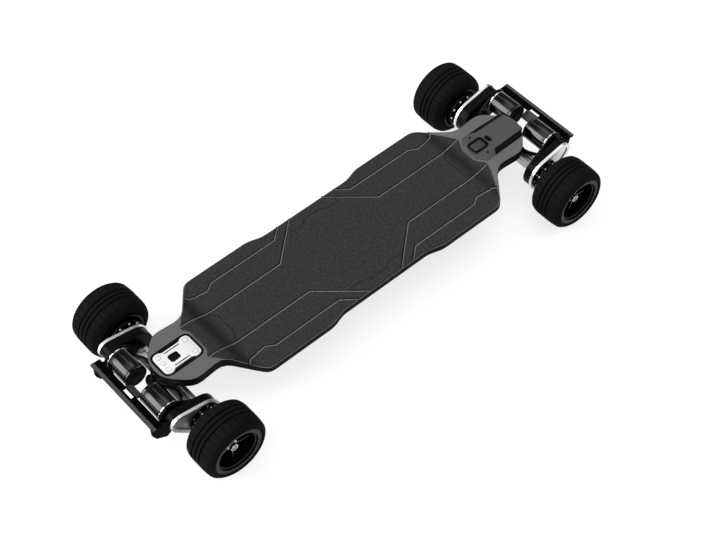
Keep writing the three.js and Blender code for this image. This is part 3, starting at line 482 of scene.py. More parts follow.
def finish(name, color, roughness, specular=0.5, metallic=0.0, uneven=0.08, patch=60.0, wander=0.06,
           relief=None, scale=1000.0, height=0.0):
    """A material from its plain values. color is a grey level, or red, green and blue. uneven is
    how much the colour wanders, patch how closely, and wander how much the roughness does. relief
    is an effect group, with its scale and height."""
    material = bpy.data.materials.new(name)
    material.use_nodes = True
    tree = material.node_tree
    shader = tree.nodes["Principled BSDF"]
    shader.inputs["Metallic"].default_value = metallic
    shader.inputs["Specular IOR Level"].default_value = specular
    full_color = [*np.broadcast_to(color, 3).tolist(), 1]
    tone_values = {"Color": full_color, "Amount": uneven, "Scale": patch}
    tone = add_node(tree, "Group", tone_values, node_tree=mottle)
    gloss = add_node(tree, "MapRange", {
        "Value": tone.outputs["Value"], "From Min": gloss_low, "From Max": gloss_high,
        "To Min": roughness - wander, "To Max": roughness + wander,
    })
    tree.links.new(tone.outputs["Color"], shader.inputs["Base Color"])
    tree.links.new(gloss.outputs[0], shader.inputs["Roughness"])
    if relief:
        effect = add_node(tree, "Group", {"Scale": scale}, node_tree=relief)
        bump = add_node(tree, "Bump", {
            "Strength": 1.0, "Distance": height, "Height": effect.outputs["Height"],
        })
        tree.links.new(bump.outputs["Normal"], shader.inputs["Normal"])
    return material


print("a finish wires the", mottle.name, "and one relief,", grain.name, "or", brushed.name)

# %% [markdown]
# The mat's two ramps lean away from the light, and in the photograph a soft dark band crosses each
# of them. The model's light makes a part of it. The rest is a darker colour in the mat's finish,
# which is simpler than a second lamp and touches nothing else on the board.

# %% The shade on the ramps
ramp_places_of = {"nose": -360 * mm, "tail": 347 * mm}
ramp_band_width, ramp_band_depth = 14 * mm, 0.62


def shade_ramps(material):
    """Darkens the mat on its ramps. The colour is multiplied by
    1 - depth * (sum of exp(-((x - place) / width)^2)), with one place for each ramp."""
    tree = material.node_tree
    x = add_node(tree, "SeparateXYZ", {"Vector": object_place(tree)}).outputs["X"]
    total = 0.0
    for middle in ramp_places_of.values():
        away = calc(tree, "DIVIDE", calc(tree, "SUBTRACT", x, middle), ramp_band_width)
        below = calc(tree, "MULTIPLY", calc(tree, "MULTIPLY", away, away), -1.0)
        total = calc(tree, "ADD", total, calc(tree, "EXPONENT", below))
    left = calc(tree, "SUBTRACT", 1.0, calc(tree, "MULTIPLY", total, ramp_band_depth))
    color = tree.nodes["Principled BSDF"].inputs["Base Color"]
    tree.links.new(scaled(tree, color.links[0].from_socket, left), color)
    return material


print("dark bands at", ramp_places_of)

# %% [markdown]
# The finishes of the deck. The real deck is a moulded black shell with a satin grey top face. The
# mat is coarse rubber, and its sparkle is a close mottling of the colour rather than a photograph
# of grit, so it holds from any distance.

# %% Finishes of the deck


def deck_black():
    """The deck's moulded black shell, with the faint pebble of its mould."""
    return finish("deck_black", color=0.0045, roughness=0.6, specular=0.06,
                  relief=grain, scale=1400, height=0.012 * mm)


def deck_panel():
    """The smooth grey face of the deck's top, seen on the tongues and round the mat."""
    return finish("deck_panel", color=0.120, roughness=0.55, specular=0.3, uneven=0.03,
                  relief=grain, scale=2500, height=0.01 * mm)


def mat_rubber():
    """The grip mat: dark rubber with a close, coarse grain that shows as fine mottling."""
    rubber = finish("mat_rubber", color=0.031, roughness=0.85, specular=0.2, uneven=0.9, patch=260,
                    relief=grain, scale=500, height=0.5 * mm)
    return shade_ramps(rubber)


def groove_grey():
    """The light cord that shows in the mat's grooves."""
    return finish("groove_grey", color=0.155, roughness=0.6, specular=0.3)


def line_and_shadow_black():
    """The thin black lines pressed into the mat, the painted shadow beside each cord, and the slits
    of the nose plate.
    """
    return finish("line_and_shadow_black", color=0.003, roughness=0.7, specular=0.06)


def pearl_silver():
    """The nose plate: pale metal paint."""
    return finish("pearl_silver", color=0.84, roughness=0.4, metallic=0.1, uneven=0.015,
                  relief=brushed, scale=900, height=0.003 * mm)


def bolt_shadow_grey():
    """Painted shadow: the grey ring round each of the plate's bolt heads."""
    return finish("bolt_shadow_grey", color=0.42, roughness=0.5, specular=0.3, uneven=0.02)


def lens_black():
    """The black lens in the nose plate's window."""
    return finish("lens_black", color=0.003, roughness=0.3, specular=0.06, uneven=0.05, wander=0.02)


def console_grey():
    """The console's satin grey plastic."""
    return finish("console_grey", color=0.064, roughness=0.5, specular=0.35, uneven=0.03,
                  relief=grain, scale=2500, height=0.01 * mm)


def trim_black():
    """Smooth black plastic of the console's sides, the bezel and the button."""
    return finish("trim_black", color=0.003, roughness=0.34, specular=0.05, uneven=0.05,
                  relief=grain, scale=3000, height=0.002 * mm)


def display_glass():
    """The dark grey display glass, with its anti-glare surface."""
    return finish("display_glass", color=0.05, roughness=0.25, specular=0.12, uneven=0.05, wander=0.02)


def belly_plastic():
    """The enclosure's black plastic, textured to hide scratches."""
    return finish("belly_plastic", color=0.014, roughness=0.55, specular=0.35,
                  relief=grain, scale=1000, height=0.08 * mm)


def battery_wrap():
    """The blue shrink wrap of the battery pack."""
    return finish("battery_wrap", color=(0.03, 0.07, 0.22), roughness=0.3,
                  relief=grain, scale=120, height=0.2 * mm)


deck_finishes = [
    deck_black, deck_panel, mat_rubber, groove_grey, line_and_shadow_black, pearl_silver, bolt_shadow_grey, lens_black,
    console_grey, trim_black, display_glass, belly_plastic, battery_wrap,
]
look = {maker.__name__: maker() for maker in deck_finishes}
print(len(look), "finishes for the deck")

# %% [markdown]
# The finishes of the trucks and wheels. Powder paint, rubber and moulded nylon are told apart by
# how sharply they mirror the light: the motors' cans are glossy and show it as a crisp band, the
# castings are satin, and the tyres almost swallow it.

# %% Finishes of the trucks and wheels


def cast_black():
    """Black powder paint on the castings and covers."""
    return finish("cast_black", color=0.0035, roughness=0.34, specular=0.045, uneven=0.1,
                  relief=grain, scale=1800, height=0.004 * mm)


def guard_painted_highlight():
    """Painted highlight: the satin grey on the tops of the guard's lip and tongue."""
    return finish("guard_painted_highlight", color=0.062, roughness=0.45, specular=0.2, uneven=0.1, patch=120)


def guard_and_shadow_black():
    """The dead flat black of the guards, made deeper than the castings' black as painted shade from
    the motors, and of the thin discs of painted shadow on the cover plates.
    """
    return finish("guard_and_shadow_black", color=0.0012, roughness=0.5, specular=0.02, uneven=0.1)


def motor_black():
    """The motors' glossy black cans, in which the light shows as long bands."""
    return finish("motor_black", color=0.0015, roughness=0.13, specular=0.4, uneven=0.05, wander=0.01)


def bell_black():
    """The matt black end face of each motor."""
    return finish("bell_black", color=0.002, roughness=0.6, specular=0.04, uneven=0.05)


def bright_metal():
    """Bright machined aluminium."""
    return finish("bright_metal", color=0.80, roughness=0.38, metallic=1.0, uneven=0.03,
                  relief=brushed, scale=1500, height=0.0002 * mm)


def forged_metal():
    """The satin aluminium of the axle arms."""
    return finish("forged_metal", color=0.42, roughness=0.36, metallic=1.0, uneven=0.05,
                  relief=brushed, scale=900, height=0.0003 * mm)


def steel():
    """Bright zinc plated steel."""
    return finish("steel", color=0.62, roughness=0.24, metallic=1.0,
                  relief=brushed, scale=2500, height=0.004 * mm)


def tyre_rubber():
    """The tyres' deep black rubber, a little warm."""
    return finish("tyre_rubber", color=(0.0082, 0.0082, 0.0074), roughness=0.75, specular=0.03,
                  uneven=0.12, patch=300, relief=grain, scale=1100, height=0.02 * mm)


def hub_black():
    """The deep black of the hub's spokes and barrel, and of the pulley's flange."""
    return finish("hub_black", color=0.003, roughness=0.36, specular=0.07, uneven=0.05,
                  relief=grain, scale=1500, height=0.006 * mm)


def hub_ring():
    """The grey ring of the hub's face."""
    return finish("hub_ring", color=0.040, roughness=0.5, specular=0.15, uneven=0.05,
                  relief=grain, scale=1500, height=0.01 * mm)


def spoke_highlight_grey():
    """Painted highlight: the pale edges of the hub's spokes."""
    return finish("spoke_highlight_grey", color=0.30, roughness=0.5, specular=0.2, uneven=0.05)


def urethane():
    """The springy black rings round the kingpins."""
    return finish("urethane", color=0.008, roughness=0.5, uneven=0.05,
                  relief=grain, scale=1500, height=0.01 * mm)


def belt_rubber():
    """The drive belts' matt black rubber."""
    return finish("belt_rubber", color=0.012, roughness=0.75,
                  relief=grain, scale=1500, height=0.03 * mm)


truck_finishes = [
    cast_black, guard_painted_highlight, guard_and_shadow_black, motor_black, bell_black, bright_metal, forged_metal, steel,
    tyre_rubber, hub_black, hub_ring, spoke_highlight_grey, urethane, belt_rubber,
]
look.update({maker.__name__: maker() for maker in truck_finishes})
print(len(look), "finishes in all")

# %% [markdown]
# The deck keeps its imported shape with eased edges. Its top face is grey, its walls and underside
# are black, and the pocket round the nose plate is black too. The mat lies 3 mm inside the deck's
# edge, so that the grey top shows as a thin line all round it. The mat's long flat faces would
# shade unevenly if their corners shared one normal, so its normals are weighted by face area.

# %% Deck and mat
ramp_start, ramp_end = 330 * mm, 395 * mm
upward_share = 0.6


def deck_tones(centres, normals):
    """1 for faces that look up, back to 0 where they are lower than the deck's top, as in the pocket."""
    up = normals[:, 2] > upward_share
    low = (np.abs(centres[:, 0]) > ramp_end) & (centres[:, 2] < tongue_top - fit_gap)
    return np.where(up & ~low, 1, 0)


softened("deck", ["deck_black", "deck_panel"], edge=rounded,
         choose=deck_tones, segments=3, edge_tone=0)
dressed_mat = softened("grip_mat", ["mat_rubber"], edge=0)
even = dressed_mat.modifiers.new("even normals", "WEIGHTED_NORMAL")
even.weight = 100
even.keep_sharp = True
print(len(dressed_mat.data.polygons), "faces in the mat")

# %% [markdown]
# The grooves of the mat hold a light grey cord. It could be a curve with a bevel, but a band that
# is carried point by point can follow the ramps exactly. Each point of the path gets the same low
# section with a rounded top, set square to the path, with mitred turns. The path rises with the
# deck's ramps, which are a smooth step in four straight parts.

# %% Cords in the grooves
ramp_steps = 4
ramp_shares = np.linspace(0, 1, ramp_steps + 1)
ramp_places = ramp_start + (ramp_end - ramp_start) * ramp_shares
ramp_heights = tongue_rise * ramp_shares ** 2 * (3 - 2 * ramp_shares)
path_step = 4 * mm
groove_depth = 1 * mm
groove_floor = mat_top - groove_depth
cord_half, cord_height = 1.2 * mm, 0.95 * mm
cord_side_share, cord_crown_share = 0.7, 0.6
deck_waist, mat_margin, end_overrun = 134 * mm, 3 * mm, 1 * mm
waist_y = deck_waist - mat_margin
inner_y, inner_bend, inner_edge = 48.5 * mm, 141 * mm, 45.8 * mm
inner_ends = {"nose": 408 * mm, "tail": 377 * mm}
inner_run = [(inner_bend, inner_y), (inner_edge, waist_y + end_overrun)]
outer_y = 107 * mm
outer_run = [
    (354 * mm, 112 * mm), (345 * mm, 101 * mm), (302 * mm, 95 * mm), (283 * mm, outer_y),
    (109.5 * mm, outer_y), (79.5 * mm, waist_y),
]


def rise(x):
    """How far the deck has risen at x."""
    return np.interp(np.abs(x), ramp_places, ramp_heights)


def along_path(path, section, base):
    """Carries a section of (across, up) points along a flat path. The path is cut into short
    lengths so that it can follow the ramps. At a turn the section is widened by 1 / cos of half
    the turn, which keeps the band's width."""
    path = np.array(path, float)
    lengths = np.linalg.norm(np.diff(path, axis=0), axis=1)
    pieces = [np.linspace(a, b, max(2, int(length / path_step) + 1))[:-1]
              for a, b, length in zip(path[:-1], path[1:], lengths)]
    points = np.concatenate(pieces + [path[-1:]])
    step = np.diff(points, axis=0)
    step /= np.linalg.norm(step, axis=1, keepdims=True)
    before, after = np.vstack([step[:1], step]), np.vstack([step, step[-1:]])
    mean = before + after
    mean /= np.linalg.norm(mean, axis=1, keepdims=True)
    widen = 1 / np.sum(mean * after, axis=1, keepdims=True)
    side = np.stack([-mean[:, 1], mean[:, 0]], -1) * widen
    across, up = np.array(section, float).T
    flat = points[:, None] + side[:, None] * across[None, :, None]
    height = base + rise(flat[..., 0]) + up[None, :]
    return np.concatenate([flat, height[..., None]], -1)


def groove_runs():
    """The path of each groove and the sign of its -Y side."""
    for end, sx in ends.items():
        for sy in sides.values():
            for run in ([(inner_ends[end], inner_y), *inner_run], outer_run):
                yield np.array(run) * np.array([sx, sy]), sx


def make_groove_cords():
    """One cord in each groove: an inner and an outer one at each corner of the mat."""
    crown, shoulder = cord_half * cord_crown_share, cord_height * cord_side_share
    section = [
        (-cord_half, 0), (-cord_half, shoulder), (-crown, cord_height),
        (crown, cord_height), (cord_half, shoulder), (cord_half, 0),
    ]
    grids = [grid(along_path(path, section, groove_floor), caps=True) for path, _ in groove_runs()]
    return piece("groove_cords", grids, ["groove_grey"], "board")


print("grooves", sum(1 for run in groove_runs()), "at a depth of", groove_depth)

# %% [markdown]
# Fine dark lines lie in the mat. The one beside each cord is painted shadow of the groove's wall.
# A six-sided line on each ramp and a stepped one at each side of the waist are pressed into the
# mat. They could be part of the mat's finish, but a thin band keeps its edge crisp at any distance.

# %% Lines and painted shadow in the mat
line_top, line_foot = 0.1 * mm, -0.2 * mm
# The band beside each cord is painted shadow of the groove's wall.
line_half, fine_line_half = 1.1 * mm, 0.6 * mm
shadow_line_gap = 0.1 * mm
shadow_line_offset = cord_half + shadow_line_gap + line_half
ramp_line_x, ramp_line_wide, ramp_line_flat = 341 * mm, inner_y - end_overrun, 30 * mm
ramp_line_far = 325.5 * mm
ramp_line = [
    (ramp_line_x, ramp_line_wide), (ramp_line_far, ramp_line_flat), (ramp_line_far, -ramp_line_flat),
    (ramp_line_x, -ramp_line_wide),
]
waist_line_y, waist_line_out = 100 * mm, 109 * mm
waist_line_xs = np.array([73, 34, 24, -24, -34, -73]) * mm
waist_line_ys = [waist_line_y, waist_line_y, waist_line_out, waist_line_out, waist_line_y, waist_line_y]


def line_section(middle, half):
    """A thin dark band whose top lies just over the face below it. The pressed lines, the painted
    shadow beside each cord and the slits of the nose plate all use it.
    """
    near, far = middle - half, middle + half
    return [(near, line_foot), (near, line_top), (far, line_top), (far, line_foot)]


def make_mat_lines():
    """The painted shadow beside each cord, then the fine pressed lines on the ramps and at the waist."""
    paths = [(path, line_section(-way * shadow_line_offset, line_half)) for path, way in groove_runs()]
    fine_section = line_section(0, fine_line_half)
    waist_line = np.column_stack([waist_line_xs, waist_line_ys])
    paths += [(np.array(ramp_line) * np.array([sx, 1]), fine_section) for sx in ends.values()]
    paths += [(waist_line * np.array([1, sy]), fine_section) for sy in sides.values()]
    grids = [grid(along_path(path, section, mat_top), caps=True) for path, section in paths]
    return piece("mat_lines", grids, ["line_and_shadow_black"], "board")


print(len(make_mat_lines().data.polygons), "faces in the lines")
print(len(make_groove_cords().data.polygons), "faces in the groove cords")

# %% [markdown]
# The nose plate is a waisted slab with eased edges and a rounded window. A boolean could cut the
# window, but a ruled top gives cleaner shading: each point of the outer outline is joined to the
# window's point on the same ray from the window's middle. The window is a superellipse,
# |a|^n + |b|^n = 1, which is a rectangle with soft corners. The five bolts have turned heads with a
# hexagonal socket, and a thin grey ring round each head is painted shadow of the gap at its edge.

# %% Nose plate
plate_low, plate_high = corners_of("nose_plate")
plate_middle = (plate_low[0] + plate_high[0]) / 2
plate_half = np.array([plate_high[0] - plate_low[0], plate_high[1] - plate_low[1]]) / 2
bolt_head_height = 0.8 * mm
plate_face = plate_high[2] - bolt_head_height
plate_bottom = plate_low[2]
window_offset = 7 * mm
window_x = plate_middle - window_offset
window_half = np.array([12.5 * mm, 10.5 * mm])
window_power = 3.6
plate_waist_y, plate_waist_x, plate_ramp = 23.5 * mm, 22 * mm, 6 * mm
plate_corner, waist_corner = 12 * mm, 3.5 * mm
bolt_inset, bolt_radius, bolt_socket = 11 * mm, 4.4 * mm, 1.9 * mm
bolt_ease_share, socket_rim_share, socket_middle_share, ease_start_share = 0.12, 1.06, 0.01, 0.3
socket_depth = 0.3 * mm
# The grey ring round each bolt head is painted shadow of the gap at its edge.
shadow_ring_inner, shadow_ring_outer, shadow_ring_height, shadow_ring_root = 4.7 * mm, 5.7 * mm, 0.06 * mm, 0.1 * mm
slit_y, slit_half, slit_reach = 18.7 * mm, 1.2 * mm, 19 * mm


def window_ring(outline, spread=0.0):
    """The window's edge on the rays from its middle through the outline's points."""
    ray = outline - np.array([window_x, 0])
    ray /= np.linalg.norm(ray, axis=1, keepdims=True)
    size = window_half + spread
    reach = (np.abs(ray[:, 0] / size[0]) ** window_power + np.abs(ray[:, 1] / size[1]) ** window_power)
    return np.array([window_x, 0]) + ray * reach[:, None] ** (-1 / window_power)


def bolt_grid(x, y, steps=48):
    """A bolt head turned about Z, with a socket whose radius follows a hexagon."""
    socket = hexagon(round_angles(steps), bolt_socket)
    ease = bolt_radius * bolt_ease_share
    top = plate_face + bolt_head_height
    rows = [
        (bolt_radius, plate_face - ease), (bolt_radius, top - ease), (bolt_radius - ease, top),
        (socket * socket_rim_share, top), (socket, top - socket_depth),
        (socket * socket_middle_share, top - socket_depth),
    ]
    return grid(upright(x, y, rows, steps), caps=True)


def bolt_shadow_ring(x, y):
    """The grey ring of painted shadow round a bolt head."""
    top, foot = plate_face + shadow_ring_height, plate_face - shadow_ring_root
    rows = [(shadow_ring_inner, foot), (shadow_ring_inner, top), (shadow_ring_outer, top), (shadow_ring_outer, foot)]
    return grid(upright(x, y, rows), loop_rows=True, tone=1)


def plate_outline():
    """The waisted outline, without the points that coincide."""
    quarter = [
        (plate_half[0], plate_half[1], plate_corner),
        (plate_waist_x + plate_ramp, plate_half[1], waist_corner),
        (plate_waist_x, plate_waist_y, waist_corner),
    ]
    outline = eased(four_way(quarter), 8) + np.array([plate_middle, 0])
    return outline[np.linalg.norm(np.roll(outline, 1, 0) - outline, axis=1) > weld_distance]


def make_nose_plate():
    """The slab with its window, five bolts each ringed by painted shadow, and a dark slit along each
    side. A slit's base is lower by the deck's whole rise at the nose, which along_path adds again."""
    outline, ease = plate_outline(), soft
    start = ease * ease_start_share
    rings = np.stack([
        lifted(outline, plate_bottom), lifted(outline, plate_face - ease),
        lifted(inset(outline, start), plate_face - start), lifted(inset(outline, ease), plate_face),
        lifted(window_ring(outline, ease), plate_face), lifted(window_ring(outline), plate_face - ease),
        lifted(window_ring(outline), plate_bottom),
    ])
    near, far = plate_high[0] - bolt_inset, plate_low[0] + bolt_inset
    side = plate_half[1] - bolt_inset
    bolts = [(near, side), (near, -side), (far, side), (far, 0), (far, -side)]
    grids = [grid(rings, loop_rows=True)]
    grids += [bolt_grid(x, y) for x, y in bolts]
    grids += [bolt_shadow_ring(x, y) for x, y in bolts]
    for sy in sides.values():
        slit = [(plate_middle - slit_reach, sy * slit_y), (plate_middle + slit_reach, sy * slit_y)]
        band = along_path(slit, line_section(0, slit_half), plate_face - tongue_rise)
        grids.append(grid(band, caps=True, tone=2))
    finishes = ["pearl_silver", "bolt_shadow_grey", "line_and_shadow_black"]
    return piece("plate_with_bolts", grids, finishes, "board", ("nose_plate",))


def make_plate_window():
    """The dark lens in the window, a little below the plate's face."""
    lens_gap, lens_drop = 0.2 * mm, 0.6 * mm
    around = eased(four_way([(window_half[0] * 2, window_half[1] * 2, window_half[1])]), 12)
    outline = window_ring(around + np.array([window_x, 0]), -lens_gap)
    steps = [(0, plate_bottom), (0, plate_face - lens_drop - fine), (soft, plate_face - lens_drop)]
    return piece("plate_window", [grid(standing(outline, steps), caps=True)], ["lens_black"],
                 "board")


make_nose_plate()
make_plate_window()
print("plate", np.round(plate_half * 2, 3))

# %% [markdown]
# The tail console is a low moulded housing with a square bezel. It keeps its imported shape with
# eased edges, and its long sloping sides are black from a slanted line on. The faces are cut along
# that line, which is simpler than a mask in the finish and leaves a crisp border.

# %% Console
console_low, console_high = corners_of("tail_console")
housing_height = 7 * mm
housing_top = console_low[2] + housing_height
level_margin = 0.1 * mm
upright_share, sloping_share = 0.9, 0.25
stripe_from, stripe_slant = 441 * mm, 0.71
stripe_ends = [((stripe_from, 0, 0), (1, side * stripe_slant, 0)) for side in sides.values()]


def console_tones(centres, normals):
    """1 for the slopes along the sides, and for what rises above the housing or sinks into it."""
    outboard = centres[:, 0] + stripe_slant * np.abs(centres[:, 1]) > stripe_from
    below = centres[:, 2] < housing_top - level_margin
    sloping = (np.abs(normals[:, 1]) > sloping_share) & below & outboard
    raised = centres[:, 2] > housing_top + level_margin
    well = (normals[:, 2] > upright_share) & below
    return np.where(raised | well | sloping, 1, 0)


softened("tail_console", ["console_grey", "trim_black"], edge=soft,
         choose=console_tones, cuts=stripe_ends)
print("console", np.round(console_high - console_low, 3))

# %% [markdown]
# The glass lies in the bezel. The oval power button beside it is an outline of two half circles
# that rises to a soft crown with a shallow dish for the finger. Two small dark screws hold the
# housing. All of them are outlines stacked upwards, which needs no modelling by hand.

# %% Display, button and screws
bezel_x, bezel_half = 396 * mm, np.array([22 * mm, 17 * mm])
bezel_rim, bezel_depth = 3.5 * mm, 1.8 * mm
display_inset, display_round, display_thickness, display_gap = 2.6 * mm, 5 * mm, 0.9 * mm, 0.05 * mm
screen_floor = console_high[2] - bezel_depth
button_rim, button_bevel, button_dish, dish_depth = 0.7 * mm, 0.25 * mm, 2.6 * mm, 0.4 * mm
dish_share = 0.9
screw_x, screw_y, console_screw_radius = 399 * mm, 29 * mm, 2.9 * mm
screw_shares = [1, 1, 0.8, 0.35, 0.3, 0.02]
screw_heights = np.array([-0.2, 0.15, 0.35, 0.35, 0.05, 0.05]) * mm


def make_display():
    """A thin slab with round corners, eased at its upper edge."""
    half = bezel_half - bezel_rim - display_inset
    outline = eased(four_way([(half[0], half[1], display_round)]), 8) + np.array([bezel_x, 0])
    top = screen_floor + display_thickness
    steps = [(0, screen_floor + display_gap), (0, top - hairline), (slight, top)]
    return piece("display", [grid(standing(outline, steps), caps=True)], ["display_glass"],
                 "board")


def make_power_button():
    """Two half circles of the button's half width, moved apart along Y by the rest of its length."""
    low, high = corners_of("power_button")
    middle, half = (low + high) / 2, (high - low) / 2
    turn = round_angles(64)
    reach = half[1] - half[0]
    outline = np.stack([
        middle[0] + half[0] * np.cos(turn),
        middle[1] + half[0] * np.sin(turn) + np.where(np.sin(turn) >= 0, reach, -reach),
    ], -1)
    top = high[2]
    steps = [(0, low[2]), (0, top - button_rim), (button_bevel, top - button_bevel), (button_rim, top),
             (button_dish, top - button_bevel), (half[0] * dish_share, top - dish_depth)]
    return piece("power_button_cap", [grid(standing(outline, steps), caps=True)], ["trim_black"],
                 "power_button", ("power_button",))


def make_console_screws():
    """Domes with a small hole, which stand a little proud of the housing."""
    rows = [(console_screw_radius * share, housing_top + up)
            for share, up in zip(screw_shares, screw_heights)]
    grids = [grid(upright(screw_x, sy * screw_y, rows, 24), caps=True) for sy in sides.values()]
    return piece("console_screws", grids, ["trim_black"], "board")


make_display()
make_power_button()
make_console_screws()
print("screen floor at", round(screen_floor, 4))

# %% [markdown]
# Under the deck, a closed tub holds the battery and the motor controller. None of the three shows
# in the photograph, so nothing is added to them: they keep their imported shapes, with eased edges
# and their finishes.

# %% Enclosure and what it holds
wrap_round, enclosure_round = 2 * mm, 0.9 * mm
softened("enclosure", ["belly_plastic"], edge=enclosure_round)
softened("battery", ["battery_wrap"], edge=wrap_round, segments=3)
softened("motor_controller", ["forged_metal"], edge=fine)
print("enclosure", np.round(np.subtract(*corners_of("enclosure")[::-1]), 3))

# %% [markdown]
# The trucks. Base, axle arms, guards, mounts and belt housings are castings and folded sheet, so
# they keep their imported shapes with eased edges. The arms are grey forged metal and the rest is
# painted black. The grey on the tops of the guard's lip and tongue is a painted highlight, and the
# guards' black is made deeper than the other castings' as painted shade.

# %% Castings of the trucks
casting_round, mount_round = 0.9 * mm, 0.7 * mm
arms_from = 30 * mm
lip_margin, guard_end = 0.3 * mm, 8 * mm
tongue_slope_share = 0.5
guard_high = corners_of("motor_guard_tail")[1]


def arm_tones(centres, normals):
    """1 for the arms near the wheels, 0 for the barrel in the middle."""
    return np.abs(centres[:, 1]) > arms_from


def guard_highlight_tones(centres, normals):
    """1 for the top of the lip and the slope of the tongue, which carry the painted highlight."""
    lip = (normals[:, 2] > upright_share) & (centres[:, 2] > guard_high[2] - lip_margin)
    sloping = (normals[:, 2] > tongue_slope_share) & (normals[:, 2] < upright_share)
    tongue = sloping & (np.abs(centres[:, 1]) < arms_from)
    return (lip | tongue) & (np.abs(centres[:, 1]) < guard_high[1] - guard_end)


for end in ends:
    softened(f"truck_base_{end}", ["cast_black"], edge=rounded)
    softened(f"hanger_{end}", ["cast_black", "forged_metal"], edge=casting_round,
             choose=arm_tones)
    # The guard's up-facing faces carry a painted highlight, and its black is deepened as painted shade.
    softened(f"motor_guard_{end}", ["guard_and_shadow_black", "guard_painted_highlight"], edge=soft,
             choose=guard_highlight_tones)
for wheel in wheels:
    softened(f"motor_mount_{wheel}", ["cast_black"], edge=mount_round)
    softened(f"belt_cover_{wheel}", ["cast_black"], edge=casting_round)
    softened(f"cover_plate_{wheel}", ["bright_metal"], edge=mount_round)
    softened(f"drive_belt_{wheel}", ["belt_rubber"], edge=fine)
print("guard", np.round(guard_high - corners_of("motor_guard_tail")[0], 3))

# %% [markdown]
# The kingpin with its domed cap, and the two bushings that centre the truck, are turned parts on a
# slanted line. They could be turned upright and then rotated, but a finished piece's object stays
# unturned, so each profile is carried round the slanted line itself.

# %% Kingpins and bushings
kingpin_slope = math.radians(30)
dome_reach, dome_z = 38 * mm, 104 * mm
dome_place = np.array([axle_x + dome_reach, 0, dome_z])
dome_at, dome_height, dome_round = 84 * mm, 5 * mm, 5.5 * mm
cap_start, cap_radius = 79 * mm, 13 * mm
pin_radius, pin_head_radius, pin_head_length = 5 * mm, 9 * mm, 6 * mm
bushing_radius, bushing_waist, waist_round = 13 * mm, 11.5 * mm, 5 * mm
bushing_spans = {"inner": (16.3 * mm, 33.7 * mm), "outer": (60.3 * mm, 78.7 * mm)}


def on_kingpin(profile, steps=64):
    """A profile of (along, radius) points turned about the kingpin's line in the tail truck:
    start + along * out + radius * (cos(turn) * across + sin(turn) * up)."""
    turn = round_angles(steps)
    along, radius = profile[:, :1], profile[:, 1:2]
    out = np.array([math.cos(kingpin_slope), 0, math.sin(kingpin_slope)])
    up = np.array([-math.sin(kingpin_slope), 0, math.cos(kingpin_slope)])
    across = np.array([0, 1, 0])
    start = dome_place + (along - dome_at)[..., None] * out
    ring = np.cos(turn)[None, :, None] * across + np.sin(turn)[None, :, None] * up
    return start + radius[..., None] * ring


def make_kingpin(end):
    """A bolt head, the pin, and the domed cap that shows between the motors."""
    top = dome_at + dome_height
    profile = eased([
        (-pin_head_length, 0, 0), (-pin_head_length, pin_head_radius, full), (0, pin_head_radius, easy),
        (0, pin_radius, 0), (cap_start, pin_radius, 0), (cap_start, cap_radius, full),
        (top, cap_radius, dome_round), (top, 0, 0),
    ])
    return piece(f"kingpin_pin_{end}", [grid(on_kingpin(profile))], ["cast_black"], "board",
                 (f"kingpin_{end}",), mirror=(ends[end], 1))


def make_bushing(end, which):
    """A ring that narrows a little at its middle."""
    start, stop = bushing_spans[which]
    middle = (start + stop) / 2
    bore = pin_radius + fit_gap
    profile = eased([
        (start, bore, 0), (start, bushing_radius, full), (middle, bushing_waist, waist_round),
        (stop, bushing_radius, full), (stop, bore, 0),
    ])
    return piece(f"bushing_ring_{which}_{end}", [grid(on_kingpin(profile), loop_rows=True)],
                 ["urethane"], "board", (f"bushing_{which}_{end}",), mirror=(ends[end], 1))


for end in ends:
    make_kingpin(end)
    for which in bushing_spans:
        make_bushing(end, which)
print("kingpins slope at", round(math.degrees(kingpin_slope)), "degrees")

# %% [markdown]
# Each motor is an outrunner: the glossy can turns, and the bright ring at its base stands still.
# The can's inboard end is a bell with fine notches, made by letting the radius of a few rows of
# the profile swing with the angle. Cutting them out one by one would give the same shape at far
# more cost. The same idea makes the ring's dark slots and the teeth of the wheel pulley.

# %% Motor cans
rotor_low, rotor_high = corners_of("motor_rotor_tail_right")
motor_x = (rotor_low[0] + rotor_high[0]) / 2
motor_z = (rotor_low[2] + rotor_high[2]) / 2
motor_radius = (rotor_high[2] - rotor_low[2]) / 2
rotor_from, pinion_to = rotor_low[1], rotor_high[1]
can_length, can_wall, can_round = 62 * mm, 2.5 * mm, 0.7 * mm
bell_length, bell_drop, bell_groove, groove_share = 8 * mm, 0.2 * mm, 0.7 * mm, 1.6
bell_face_depth = 2 * mm
dish_sunk, boss_radius, dish_inner, dish_outer = 1.2 * mm, 9 * mm, 11 * mm, 20 * mm
shaft_radius, pinion_radius, pinion_width = 4 * mm, 11.667 * mm, 14 * mm
notch_count, notch_depth = 40, 0.9 * mm
notch_start, notch_end, notch_ease = 2.1 * mm, 6.7 * mm, 0.1 * mm
notch_band = (2.2 * mm, 6.8 * mm)
rim_depth = 1.2 * mm


def notched(y, radius, turn):
    """Square notches round the bell: the radius drops where the wave is positive."""
    along = (y > rotor_from + notch_band[0]) & (y < rotor_from + notch_band[1])
    wave = np.sin(turn * notch_count) > 0
    return radius - notch_depth * (along & (radius > motor_radius - rim_depth) & wave)


